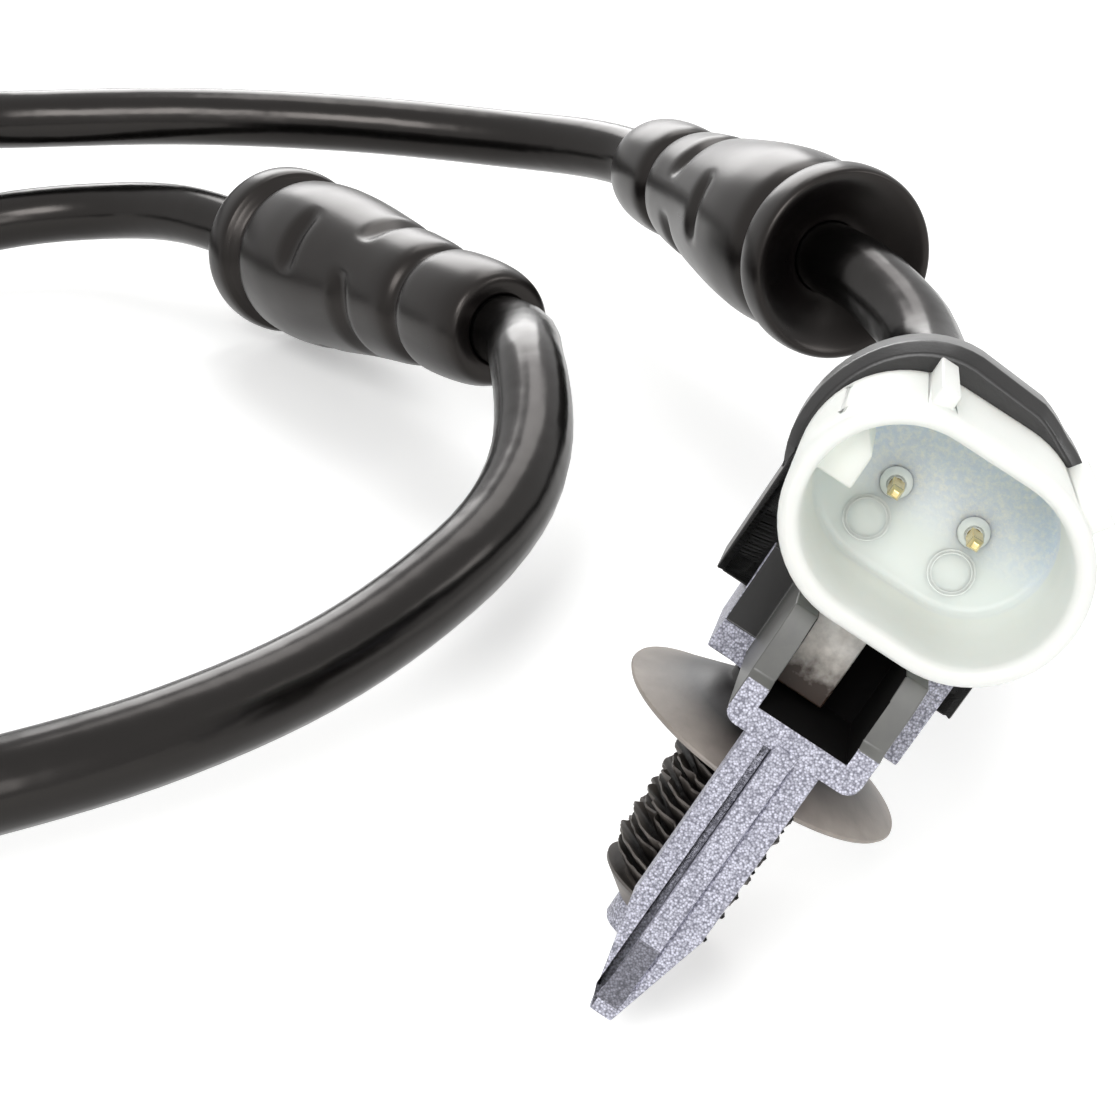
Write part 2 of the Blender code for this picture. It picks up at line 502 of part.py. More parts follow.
def cable_route():
    """Centreline of the cable from the connector, through both grommets, to the sensor head."""
    place = table.matrix_world.inverted() @ connector.matrix_world
    start = [place @ (Vector((MID_X, y, 0)) * MM) / MM for y in (CABLE_START, SHELL_END + BOOT_LENGTH + 1)]
    back = place.to_3x3() @ Vector(BACK)
    points, ways = list(start), [back, back]
    for face, axis, before in (
        (GROMMET_A_FACE, GROMMET_A_AXIS, TO_GROMMET_A),
        (GROMMET_B_FACE, GROMMET_B_AXIS, BETWEEN_GROMMETS),
    ):
        way = Vector(axis).normalized()
        points += before
        ways += [None] * len(before)
        points += [Vector(face) - way * 1, Vector(face) + way * (GROMMET_LENGTH + 1)]
        ways += [way, way]
    points += AFTER_GROMMET_B
    ways += [None] * len(AFTER_GROMMET_B)
    x, y, _ = HEAD_AT
    middle = HEAD_HEIGHT / 2
    points += [(x, y - COLLAR_LENGTH - 1, middle), (x, y + 2.5, middle)]
    ways += [(0, 1, 0), (0, 1, 0)]
    return smooth_line(points, ways, 2.0 * CABLE_D)


def make_cable():
    """Jacketed two-core cable, one continuous length through the grommets."""
    wire("cable_jacket", cable_route(), CABLE_D / 2, table, JACKET_PVC, 3)


def make_sensor_head():
    """Head body, collar, wear loop, cores and the spring strip, lying on the surface."""
    x, y, z = HEAD_AT
    middle = HEAD_HEIGHT / 2
    half, nose = HEAD_WIDTH / 2, NOSE_WIDTH / 2
    chamfer = 1.2
    outline = [(-half + chamfer, 0), (half - chamfer, 0), (half, chamfer), (half, HEAD_HEIGHT - chamfer),
               (half - chamfer, HEAD_HEIGHT), (-half + chamfer, HEAD_HEIGHT), (-half, HEAD_HEIGHT - chamfer),
               (-half, chamfer)]
    mesh = prism([(x + a, b) for a, b in outline], y, y + HEAD_LENGTH)
    body = new_object("sensor_head_body", mesh, table, BLACK_NYLON)
    low = middle - NOSE_HEIGHT / 2
    front = y + HEAD_LENGTH
    tip = [(x - nose, low), (x + nose, low), (x + nose, low + NOSE_HEIGHT), (x - nose, low + NOSE_HEIGHT)]
    boolean(body, new_object("nose_join", prism(tip, front - 1, front + NOSE_LENGTH), table), "UNION")
    bore = rod(CABLE_BORE_R, (x, y - 1, middle), 4, BACK, segments=28)
    boolean(body, new_object("head_bore_cut", bore, table), "DIFFERENCE")
    pocket = rod(2.6, (x, y + 2.6, middle), 5.4, BACK, segments=24)
    boolean(body, new_object("head_pocket_cut", pocket, table), "DIFFERENCE")
    slot_r = LOOP_R + GAP
    for sign in (-1, 1):
        reach = HEAD_LENGTH + NOSE_LENGTH - 8.2
        leg = rod(slot_r, (x + sign * LOOP_PITCH / 2, y + 7, middle), reach, BACK)
        boolean(body, new_object(f"loop_leg_cut_{sign + 1}", leg, table), "DIFFERENCE")
    cross = block((x - LOOP_PITCH / 2 - slot_r, x + LOOP_PITCH / 2 + slot_r),
                  (front + NOSE_LENGTH - 3.4, front + NOSE_LENGTH + 1), (middle - slot_r, middle + slot_r))
    boolean(body, new_object("loop_cross_cut", cross, table), "DIFFERENCE")
    end = front + NOSE_LENGTH - 1.0
    turn = LOOP_PITCH / 2
    arc = [(x + turn * cos(a), end - turn + turn * sin(a), middle) for a in (pi * i / 6 for i in range(7))]
    legs = y + 8.3
    line = [(x + turn, legs, middle)] + arc + [(x - turn, legs, middle)]
    wire("wear_loop", line, LOOP_R, table, COPPER, 1)
    for side, sign in enumerate((-1, 1)):
        points = [(x + sign * 1.2, y + 2.5 + GAP, middle), (x + sign * turn, y + 5.0, middle),
                  (x + sign * turn, legs - GAP, middle)]
        wire(f"head_core_{side + 1}", points, 0.62, table, CORE_PVC, 1)
    profile = [(CABLE_BORE_R, 0), (COLLAR_R - 0.5, 0), (COLLAR_R - 0.2, 2), (COLLAR_R, 3.5),
               (COLLAR_R, COLLAR_LENGTH - GAP), (CABLE_BORE_R, COLLAR_LENGTH - GAP)]
    mesh = turned(profile, along((x, y - COLLAR_LENGTH, middle), BACK), 28)
    new_object("head_collar", mesh, table, BLACK_RUBBER, smooth=True)
    inside, strip = half + GAP, CLIP_STRIP
    top = HEAD_HEIGHT + GAP
    foot = HEAD_HEIGHT - CLIP_LEG
    profile = [(-inside - strip, foot), (-inside, foot), (-inside, top), (inside, top), (inside, foot),
               (inside + strip, foot), (inside + strip, top + strip), (-inside - strip, top + strip)]
    mesh = prism([(x + a, b) for a, b in profile], y + 4, y + 4 + CLIP_LENGTH)
    clip = new_object("spring_clip", mesh, table, SPRING_STEEL)
    lift = 0.7
    leaf = [(y + 4 + CLIP_LENGTH - 0.5, top), (y + 4 + CLIP_LENGTH - 0.5, top + strip),
            (y + 9 + CLIP_LENGTH, top + strip + lift), (y + 9 + CLIP_LENGTH, top + lift)]
    boolean(clip, new_object("leaf_join", prism(leaf, x - 2.5, x + 2.5, axis="x"), table), "UNION")


make_housing()
for side in (0, 1):
    make_terminal(side)
    make_core(side)
make_wire_seal()
make_rear_shell()
make_strain_relief()
make_clip_base()
make_stud()
make_grommet("grommet_a", GROMMET_A_FACE, GROMMET_A_AXIS)
make_grommet("grommet_b", GROMMET_B_FACE, GROMMET_B_AXIS)
bpy.context.view_layer.update()
make_cable()
make_sensor_head()
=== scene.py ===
"""Looks of the brake pad wear sensor: studio, cable, connector group, grommets and sensor head.
Lengths are in millimetres, turned into metres by MM.
"""
import random
from math import atan2, cos, degrees, exp, pi, radians, sin

import bmesh
import bpy
from mathutils import Matrix, Vector


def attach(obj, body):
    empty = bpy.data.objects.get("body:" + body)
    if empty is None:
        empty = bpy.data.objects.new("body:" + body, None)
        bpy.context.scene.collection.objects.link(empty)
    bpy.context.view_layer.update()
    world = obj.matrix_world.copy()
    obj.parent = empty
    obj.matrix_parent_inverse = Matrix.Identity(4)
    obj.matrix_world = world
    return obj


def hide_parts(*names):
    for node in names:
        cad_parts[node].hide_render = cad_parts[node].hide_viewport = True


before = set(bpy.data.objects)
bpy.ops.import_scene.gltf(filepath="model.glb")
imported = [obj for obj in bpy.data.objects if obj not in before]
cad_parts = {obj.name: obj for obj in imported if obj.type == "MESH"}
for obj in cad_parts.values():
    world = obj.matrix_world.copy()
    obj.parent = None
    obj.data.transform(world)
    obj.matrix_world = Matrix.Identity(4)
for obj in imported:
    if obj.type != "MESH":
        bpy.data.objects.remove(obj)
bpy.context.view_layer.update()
scene = bpy.context.scene
MM = 0.001

# Studio: a pale table top under five soft boxes, as for a catalogue picture. Three light the mouth's
# side at a plain level, and the two behind draw the long highlights on the black parts. The camera
# looks down at the connector from in front of its mouth.
FOCAL_PIXELS, FRAME_PIXELS, SENSOR = 2000, 1118, 36.0
CAMERA_AT, CAMERA_DOWN_DEG = (-14.82, -94.83, 72.2), 28.6
FLOOR_HALF = 1500
SKY_ON_OBJECT, TABLE_GLOW = 0.28, 0.36

camera_data = bpy.data.cameras.new("camera")
camera_data.sensor_width = SENSOR
camera_data.lens = SENSOR * FOCAL_PIXELS / FRAME_PIXELS
camera_data.clip_start = 0.001
camera = bpy.data.objects.new("camera", camera_data)
camera.location = Vector(CAMERA_AT) * MM
camera.rotation_euler = (radians(90 - CAMERA_DOWN_DEG), 0, 0)
scene.collection.objects.link(camera)
scene.camera = camera
scene.view_settings.view_transform = "Standard"


def linear(code):
    """Linear RGBA of an sRGB hex colour."""
    parts = [int(code[i:i + 2], 16) / 255 for i in (1, 3, 5)]
    return [c / 12.92 if c <= 0.04045 else ((c + 0.055) / 1.055) ** 2.4 for c in parts] + [1.0]


def add(tree, kind, inputs=(), **settings):
    """Node with its settings; an input is a value or the output socket that feeds it."""
    item = tree.nodes.new(kind)
    for key, value in settings.items():
        setattr(item, key, value)
    for key, value in dict(inputs).items():
        if isinstance(value, bpy.types.NodeSocket):
            tree.links.new(value, item.inputs[key])
        else:
            item.inputs[key].default_value = value
    return item


def new_material(name, **finish):
    """Material with its Principled shader, and the object's coordinates in millimetres."""
    material = bpy.data.materials.new(name)
    material.use_nodes = True
    tree = material.node_tree
    shader = tree.nodes["Principled BSDF"]
    for key, value in finish.items():
        shader.inputs[key.replace("_", " ")].default_value = value
    place = add(tree, "ShaderNodeTexCoord")
    mm = add(tree, "ShaderNodeVectorMath", {0: place.outputs["Object"], "Scale": 1 / MM}, operation="SCALE")
    return material, tree, shader, mm.outputs[0]


def soft_box(name, at, aim, size, watts):
    """Square lamp that faces a point."""
    lamp = bpy.data.lights.new(name, "AREA")
    lamp.size = size * MM
    lamp.energy = watts
    item = bpy.data.objects.new(name, lamp)
    item.location = Vector(at) * MM
    item.rotation_euler = (Vector(aim) - Vector(at)).to_track_quat("-Z", "Y").to_euler()
    scene.collection.objects.link(item)


soft_box("key_soft_box", (-100, -270, 300), (-10, 20, 10), 170, 0.8)
soft_box("front_soft_box", (60, -330, 170), (0, 10, 20), 160, 0.26)
soft_box("back_soft_box", (30, 240, 330), (0, 20, 20), 200, 0.42)
soft_box("low_back_soft_box", (-60, 420, 190), (-20, 60, 10), 240, 0.9)
soft_box("side_soft_box", (300, -60, 200), (0, 10, 10), 120, 0.22)


def background_rays(tree):
    """1 for the rays that see the white surroundings themselves, 0 for those that light the object."""
    rays = add(tree, "ShaderNodeLightPath")
    seen = add(
        tree, "ShaderNodeMath", {0: rays.outputs["Is Camera Ray"], 1: rays.outputs["Is Transmission Ray"]},
        operation="MAXIMUM",
    )
    return add(tree, "ShaderNodeMath", {0: seen.outputs[0], 1: rays.outputs["Is Glossy Ray"]},
               operation="MAXIMUM").outputs[0]


world = bpy.data.worlds.new("studio")
world.use_nodes = True
scene.world = world
seen = background_rays(world.node_tree)
strength = add(world.node_tree, "ShaderNodeMapRange", {0: seen, "To Min": SKY_ON_OBJECT, "To Max": 1.0})
backdrop = world.node_tree.nodes["Background"]
backdrop.inputs["Color"].default_value = linear("#ffffff")
world.node_tree.links.new(strength.outputs[0], backdrop.inputs["Strength"])

mesh = bpy.data.meshes.new("table_top")
corners = [
    (-FLOOR_HALF, -FLOOR_HALF), (FLOOR_HALF, -FLOOR_HALF), (FLOOR_HALF, FLOOR_HALF),
    (-FLOOR_HALF, FLOOR_HALF),
]
mesh.from_pydata([(x * MM, y * MM, 0) for x, y in corners], [], [(0, 1, 2, 3)])
table_top = bpy.data.objects.new("table_top", mesh)
scene.collection.objects.link(table_top)
# White laminate, pressed matt: even and pale, and as white as the surroundings to whoever looks at it
material, tree, shader, mm = new_material("white_laminate_table", Roughness=0.9)
shader.inputs["Base Color"].default_value = linear("#f7f7f6")
shader.inputs["Emission Color"].default_value = linear("#ffffff")
glow = add(tree, "ShaderNodeMath", {0: background_rays(tree), 1: TABLE_GLOW}, operation="MULTIPLY")
tree.links.new(glow.outputs[0], shader.inputs["Emission Strength"])
mesh.materials.append(material)

# Cable: two insulated cores in a black PVC jacket, extruded round and smooth, one length from the
# connector through both rubber grommets to the sensor head. It keeps the stiff curves it was packed in.
FRAME_SHIFT = (-0.42, -3.13, 0.0)
MOUTH_AT = (2.4, -11.8, 29.35)
TILT_DEG, LOOK_UP_DEG, TURN_DEG = 29.0, 15.5, -10.8
MID_X = 0.3
SHELL_END, CABLE_START, BOOT_LENGTH = 27.6, 23.6, 5.0
CABLE_D = 5.6
GROMMET_LENGTH = 39.0
GROMMET_A_FACE, GROMMET_A_AXIS = (7.5, 53.6, 18.6), (-0.331, 0.936, -0.1)
GROMMET_B_FACE, GROMMET_B_AXIS = (-40.5, 87.0, 8.1), (0.551, -0.825, 0.121)
TO_GROMMET_A = [(9.4, 25, 19.2), (10.9, 32, 17.6), (11.6, 38.5, 17.2), (10.9, 44.5, 18.0)]
BETWEEN_GROMMETS = [
    (-10.5, 97.5, 14.2), (-19, 103, 13.6), (-35, 106, 14.3), (-52, 105.2, 15.3),
    (-69.5, 104, 15.3), (-86, 107, 14.0), (-104, 111, 11.0), (-118, 107, 7.8),
    (-125, 95, 5.2), (-120, 82, 3.6), (-107, 78, 3.2), (-93, 84, 3.6),
    (-81, 93.5, 5.0), (-70.5, 99.6, 6.2), (-60, 100.6, 7.0), (-51, 96.6, 8.0),
]
AFTER_GROMMET_B = [
    (-16.7, 43.5, 14.6), (-16.2, 34.5, 13.2), (-17.3, 28, 11.7),
    (-20.5, 21.8, 10.1), (-28, 13.6, 8.0), (-37, 6.2, 7.3), (-47, 0.6, 7.1),
    (-60, -3.4, 6.2), (-76, -2.6, 4.6), (-91, 5, 3.9), (-100.5, 17, 3.9),
]
HEAD_AT = (-104.0, 34.0, 0.0)
HEAD_HEIGHT, COLLAR_LENGTH = 7.8, 6.0

connector = (
    Matrix.Translation((Vector(MOUTH_AT) + Vector(FRAME_SHIFT)) * MM)
    @ Matrix.Rotation(radians(TURN_DEG), 4, "Z")
    @ Matrix.Rotation(radians(-LOOK_UP_DEG), 4, "X")
    @ Matrix.Rotation(radians(TILT_DEG), 4, "Y")
)
table = Matrix.Translation(Vector(FRAME_SHIFT) * MM)


def smooth_line(points, tangents, step):
    """Points along a smooth curve through the route; a tangent of None follows its neighbours."""
    last = len(points) - 1
    ways = [
        Vector(t).normalized() if t else (points[min(i + 1, last)] - points[max(i - 1, 0)]).normalized()
        for i, t in enumerate(tangents)
    ]
    out = [points[0]]
    for a, b, ta, tb in zip(points, points[1:], ways, ways[1:]):
        span = (b - a).length
        count = max(1, round(span / step))
        for k in range(1, count + 1):
            u = k / count
            out.append(
                a * (2 * u**3 - 3 * u**2 + 1) + ta * span * (u**3 - 2 * u**2 + u)
                + b * (3 * u**2 - 2 * u**3) + tb * span * (u**3 - u**2)
            )
    return out


def cable_line(step):
    """Centreline of the cable in metres, in the shared frame."""
    back = connector.to_3x3() @ Vector((0, 1, 0))
    points = [connector @ (Vector((MID_X, y, 0)) * MM) for y in (CABLE_START, SHELL_END + BOOT_LENGTH + 1)]
    ways = [back, back]
    for face, axis, before in (
        (GROMMET_A_FACE, GROMMET_A_AXIS, TO_GROMMET_A),
        (GROMMET_B_FACE, GROMMET_B_AXIS, BETWEEN_GROMMETS),
    ):
        way = Vector(axis).normalized()
        inside = [Vector(face) - way, Vector(face) + way * (GROMMET_LENGTH + 1)]
        points += [table @ (Vector(p) * MM) for p in before + inside]
        ways += [None] * len(before) + [way, way]
    x, y, _ = HEAD_AT
    middle = HEAD_HEIGHT / 2
    end = [(x, y - COLLAR_LENGTH - 1, middle), (x, y + 2.5, middle)]
    points += [table @ (Vector(p) * MM) for p in AFTER_GROMMET_B + end]
    ways += [None] * len(AFTER_GROMMET_B) + [(0, 1, 0), (0, 1, 0)]
    return smooth_line(points, ways, step * MM)


def tube(name, line, radius, sides=8):
    """Round wire or cable along a line, with closed ends."""
    data = bpy.data.curves.new(name, "CURVE")
    data.dimensions = "3D"
    spline = data.splines.new("POLY")
    spline.points.add(len(line) - 1)
    for knot, point in zip(spline.points, line):
        knot.co = (*point, 1)
    spline.use_smooth = True
    data.bevel_depth = radius * MM
    data.bevel_resolution = sides
    data.use_fill_caps = True
    item = bpy.data.objects.new(name, data)
    scene.collection.objects.link(item)
    return item


route = cable_line(2.0)
cable = tube("cable", route, CABLE_D / 2)

# Soft PVC, extruded: near black with the gloss of its plasticiser, greasy in patches of about 2 mm,
# and with a slow waviness of about 5 mm that breaks up the long highlights
material, tree, shader, mm = new_material("black_pvc_extruded", Roughness=0.17, IOR=1.54)
shader.inputs["Base Color"].default_value = linear("#040404")
shader.inputs["Specular IOR Level"].default_value = 0.36
shader.inputs["Specular Tint"].default_value = linear("#fff7f2")
waves = add(tree, "ShaderNodeTexNoise", {"Vector": mm, "Scale": 0.22, "Detail": 2.0})
bump = add(tree, "ShaderNodeBump", {"Height": waves.outputs[0], "Strength": 0.2, "Distance": 0.0005})
tree.links.new(bump.outputs[0], shader.inputs["Normal"])
grease = add(tree, "ShaderNodeTexNoise", {"Vector": mm, "Scale": 0.5, "Detail": 4.0})
gloss = add(tree, "ShaderNodeMapRange", {0: grease.outputs[0], "To Min": 0.17, "To Max": 0.27})
tree.links.new(gloss.outputs[0], shader.inputs["Roughness"])
cable.data.materials.append(material)
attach(cable, "root")
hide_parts("cable_jacket")

# Connector housing: one moulding in natural, uncoloured nylon, with an open oval mouth, outside
# ribs that key the plug, a floor that carries the pins and a tongue that hooks into the clip.
# Light soaks into the walls, so the rim glows and the inside stays soft and milky.
SHROUD_HALF_W, SHROUD_HALF_H = 7.5, 5.55
SHROUD_DEPTH, SHROUD_WALL, SHROUD_DRAFT, FLOOR_AT = 12.0, 1.0, 0.1, 9.6
PLUG_STEP, PLUG_END = 0.9, 19.0
RIB_AT, RIB_WIDTH, RIB_HEIGHT = -3.0, 1.0, 0.7
LUG_ANGLE_DEG, LUG_WIDTH, LUG_HEIGHT = 56.0, 1.3, 1.1
KEY_WIDTH, KEY_HEIGHT, KEY_BOTTOM, KEY_FRONT = 2.35, 2.8, -0.2, 2.0
KEY_SIDE, KEY_CHAMFER = 1.8, 0.8
RING_MARK_R, RING_MARK_DROP, RING_MARK_PITCH, RING_MARK_WIDTH = 1.1, 2.3, 5.05, 0.16
PIN_PITCH, PIN_SIDE = 4.6, 0.64
TONGUE_X, TONGUE_Y, TONGUE_BOTTOM = (-1.8, 1.05), (6.4, 8.0), -11.1
PIN_X = (MID_X - PIN_PITCH / 2, MID_X + PIN_PITCH / 2)


def stadium(half_w, half_h, steps=30):
    """Outline with straight top and bottom and round ends, about the symmetry plane."""
    flat = half_w - half_h
    right = [(flat + half_h * cos(a), half_h * sin(a))
             for a in (pi * (i / steps - 0.5) for i in range(steps + 1))]
    return [(MID_X + x, z) for x, z in right] + [(MID_X - x, -z) for x, z in right]


def loft(sections):
    """Closed body through outlines (x, z) of equal length, at depths y."""
    mesh = bmesh.new()
    rings = [[mesh.verts.new((x, y, z)) for x, z in outline] for y, outline in sections]
    for front, back in zip(rings, rings[1:]):
        for i in range(len(front)):
            j = (i + 1) % len(front)
            mesh.faces.new((front[i], front[j], back[j], back[i]))
    mesh.faces.new(rings[0])
    mesh.faces.new(rings[-1])
    bmesh.ops.recalc_face_normals(mesh, faces=mesh.faces)
    return mesh


def prism(outline, low, high, axis="y"):
    """Outline extruded along one axis; its points are the other two coordinates in order."""
    turns = {"x": (2, 0, 1), "y": (0, 2, 1)}[axis]
    mesh = bmesh.new()
    ends = [[mesh.verts.new([(a, b, t)[k] for k in turns]) for a, b in outline] for t in (low, high)]
    for i in range(len(outline)):
        j = (i + 1) % len(outline)
        mesh.faces.new((ends[0][i], ends[0][j], ends[1][j], ends[1][i]))
    mesh.faces.new(ends[0])
    mesh.faces.new(ends[1])
    bmesh.ops.recalc_face_normals(mesh, faces=mesh.faces)
    return mesh


def block(x, y, z):
    """Box between pairs of limits."""
    return prism([(x[0], z[0]), (x[1], z[0]), (x[1], z[1]), (x[0], z[1])], y[0], y[1])


def turned(profile, matrix, segments):
    """Body turned about local z from points (radius, z); it closes on itself or on the axis."""
    mesh = bmesh.new()
    rings = []
    for r, z in profile:
        angles = [2 * pi * i / segments for i in range(segments if r else 1)]
        rings.append([mesh.verts.new((r * cos(a), r * sin(a), z)) for a in angles])
    closed = profile[0][0] > 0
    for low, high in zip(rings, rings[1:] + rings[:1] if closed else rings[1:]):
        for i in range(segments):
            j = i + 1
            corners = (low[i % len(low)], low[j % len(low)], high[j % len(high)], high[i % len(high)])
            mesh.faces.new(list(dict.fromkeys(corners)))
    mesh.transform(matrix)
    bmesh.ops.recalc_face_normals(mesh, faces=mesh.faces)
    return mesh


def along(point, direction):
    """Matrix that lays local z along a direction from a point."""
    return Matrix.Translation(point) @ Vector(direction).to_track_quat("Z", "Y").to_matrix().to_4x4()


def bare(mesh, name):
    """Plain object of a mesh, for the carving steps."""
    data = bpy.data.meshes.new(name)
    mesh.to_mesh(data)
    mesh.free()
    item = bpy.data.objects.new(name, data)
    scene.collection.objects.link(item)
    return item


def carved(mesh, joined=(), cut=()):
    """Mesh with others joined to it and then others cut out of it."""
    body = bare(mesh, "carving")
    tools = [(bare(tool, "join_tool"), "UNION") for tool in joined]
    tools += [(bare(tool, "cut_tool"), "DIFFERENCE") for tool in cut]
    for tool, operation in tools:
        step = body.modifiers.new(operation, "BOOLEAN")
        step.solver, step.operation, step.object = "EXACT", operation, tool
    done = bmesh.new()
    done.from_object(body, bpy.context.evaluated_depsgraph_get())
    for item in [body] + [tool for tool, _ in tools]:
        bpy.data.objects.remove(item, do_unlink=True)
    return done


def moulded(name, mesh, place, edge, node, materials, choose=None, extra=()):
    """Finished piece: mesh put in place, with its edges rounded; choose gives a face's material.
    The extra bodies are small raised marks in the second material, sunk a little into the surface
    that they stand on."""
    bmesh.ops.remove_doubles(mesh, verts=mesh.verts, dist=0.004)
    bmesh.ops.dissolve_degenerate(mesh, edges=mesh.edges, dist=0.01)
    if edge:
        bmesh.ops.dissolve_limit(mesh, angle_limit=radians(0.5), verts=mesh.verts, edges=mesh.edges)
    if choose:
        for face in mesh.faces:
            face.material_index = choose(face.calc_center_median(), face.normal)
    for mark in extra:
        data = bpy.data.meshes.new("mark")
        mark.to_mesh(data)
        mark.free()
        data.polygons.foreach_set("material_index", [1] * len(data.polygons))
        mesh.from_mesh(data)
        bpy.data.meshes.remove(data)
    mesh.transform(place @ Matrix.Scale(MM, 4))
    data = bpy.data.meshes.new(name)
    mesh.to_mesh(data)
    mesh.free()
    data.shade_smooth()
    for item in materials:
        data.materials.append(item)
    piece = bpy.data.objects.new(name, data)
    scene.collection.objects.link(piece)
    if edge:
        step = piece.modifiers.new("rounded_edges", "BEVEL")
        step.width, step.segments, step.limit_method = edge * MM, 3, "ANGLE"
        step.angle_limit, step.use_clamp_overlap = radians(28), False
        piece.modifiers.new("flat_faces_stay_flat", "WEIGHTED_NORMAL")
    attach(piece, "root")
    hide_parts(node)
    return piece


def in_frame(tree, matrix):
    """Coordinates in millimetres in one of the frames, for a pattern that follows the piece."""
    back = matrix.inverted()
    place = add(tree, "ShaderNodeTexCoord")
    turn = add(tree, "ShaderNodeMapping", {
        "Vector": place.outputs["Object"], "Location": back.translation, "Rotation": back.to_euler()})
    return add(
        tree, "ShaderNodeVectorMath", {0: turn.outputs[0], "Scale": 1 / MM}, operation="SCALE",
    ).outputs[0]


# Natural nylon (PA66), moulded: milky, faintly green, with light soaking a few millimetres deep. The
# floor's upper half is frosted in grains of about 0.3 mm and painted brighter and bluer, as painted light
# coming through the walls, with painted sparkle. The tongue darkens towards its end in blotches of
# about 0.6 mm, as painted shade deep in the channel.
nylon, tree, shader, mm = new_material("natural_nylon_moulded", Roughness=0.45, IOR=1.53)
shader.inputs["Subsurface Weight"].default_value = 0.85
shader.inputs["Subsurface Scale"].default_value = 0.003
shader.inputs["Subsurface Radius"].default_value = (0.95, 1.05, 1.1)
local = in_frame(tree, connector)
axes = add(tree, "ShaderNodeSeparateXYZ", {0: local})
cloud = add(tree, "ShaderNodeTexNoise", {"Vector": mm, "Scale": 0.35, "Detail": 3.0})
grain = add(tree, "ShaderNodeTexNoise", {"Vector": mm, "Scale": 3.4, "Detail": 4.0, "Roughness": 0.7})
milky = add(
    tree, "ShaderNodeMix", {0: cloud.outputs[0], 6: linear("#f3f6ee"), 7: linear("#ecf1e8")},
    data_type="RGBA",
)
inside = add(tree, "ShaderNodeMapRange", {0: axes.outputs[1], "From Min": 8.6, "From Max": 9.4})
deep = add(tree, "ShaderNodeMapRange", {0: axes.outputs[1], "From Min": 11.0, "From Max": 9.9})
from_middle = add(tree, "ShaderNodeMath", {0: axes.outputs[0], 1: MID_X}, operation="SUBTRACT")
sideways = add(tree, "ShaderNodeMath", {0: from_middle.outputs[0]}, operation="ABSOLUTE")
past_flat = add(
    tree, "ShaderNodeMath", {0: sideways.outputs[0], 1: SHROUD_HALF_W - SHROUD_HALF_H},
    operation="SUBTRACT",
)
round_part = add(tree, "ShaderNodeMath", {0: past_flat.outputs[0], 1: 0.0}, operation="MAXIMUM")
spot = add(tree, "ShaderNodeCombineXYZ", {0: round_part.outputs[0], 1: axes.outputs[2]})
reach = add(tree, "ShaderNodeVectorMath", {0: spot.outputs[0]}, operation="LENGTH")
within = add(
    tree, "ShaderNodeMath", {0: reach.outputs["Value"], 1: SHROUD_HALF_H - 0.5}, operation="LESS_THAN",
)
at_floor = add(tree, "ShaderNodeMath", {0: inside.outputs[0], 1: deep.outputs[0]}, operation="MULTIPLY")
floor_only = add(
    tree, "ShaderNodeMath", {0: at_floor.outputs[0], 1: within.outputs[0]}, operation="MULTIPLY",
)
upper = add(tree, "ShaderNodeMapRange", {0: axes.outputs[2], "From Min": -1.6, "From Max": 1.4})
frost_and_painted_light = add(tree, "ShaderNodeMath", {0: floor_only.outputs[0], 1: upper.outputs[0]}, operation="MULTIPLY")
# Painted light: the floor's upper half is brighter and bluer, with painted sparkle in its grains
painted_sparkle = add(tree, "ShaderNodeMapRange", {0: grain.outputs[0], "From Min": 0.42, "From Max": 0.66})
painted_light_frost_tone = add(
    tree, "ShaderNodeMix", {0: painted_sparkle.outputs[0], 6: linear("#e2ebff"), 7: linear("#f4f8ff")},
    data_type="RGBA",
)
shade = add(
    tree, "ShaderNodeMix", {0: floor_only.outputs[0], 6: milky.outputs[2], 7: linear("#eaf0ee")},
    data_type="RGBA",
)
lit = add(
    tree, "ShaderNodeMix", {0: frost_and_painted_light.outputs[0], 6: shade.outputs[2], 7: painted_light_frost_tone.outputs[2]},
    data_type="RGBA",
)
# Painted shade: the tongue darkens towards its end, in blotches
low = add(tree, "ShaderNodeMapRange", {0: axes.outputs[2], "From Min": -7.9, "From Max": -10.6})
shade_blotches = add(tree, "ShaderNodeTexNoise", {"Vector": mm, "Scale": 1.6, "Detail": 5.0})
painted_shading = add(tree, "ShaderNodeMath", {0: low.outputs[0], 1: shade_blotches.outputs[0]}, operation="ADD")
tongue_painted_shade_ramp = add(tree, "ShaderNodeMapRange", {0: painted_shading.outputs[0], "From Min": 0.35, "From Max": 1.35})
tongue_only = add(tree, "ShaderNodeMapRange", {0: axes.outputs[2], "From Min": -5.9, "From Max": -6.6})
tongue_painted_shade = add(tree, "ShaderNodeMath", {0: tongue_painted_shade_ramp.outputs[0], 1: tongue_only.outputs[0]}, operation="MULTIPLY")
tongue_shade_tone = add(
    tree, "ShaderNodeMix", {0: tongue_painted_shade.outputs[0], 6: linear("#fffaf2"), 7: linear("#3a2a20")},
    data_type="RGBA",
)
final = add(
    tree, "ShaderNodeMix", {0: tongue_only.outputs[0], 6: lit.outputs[2], 7: tongue_shade_tone.outputs[2]},
    data_type="RGBA",
)
tree.links.new(final.outputs[2], shader.inputs["Base Color"])
bump = add(
    tree, "ShaderNodeBump",
    {"Height": grain.outputs[0], "Strength": frost_and_painted_light.outputs[0], "Distance": 0.0001},
)
tree.links.new(bump.outputs[0], shader.inputs["Normal"])

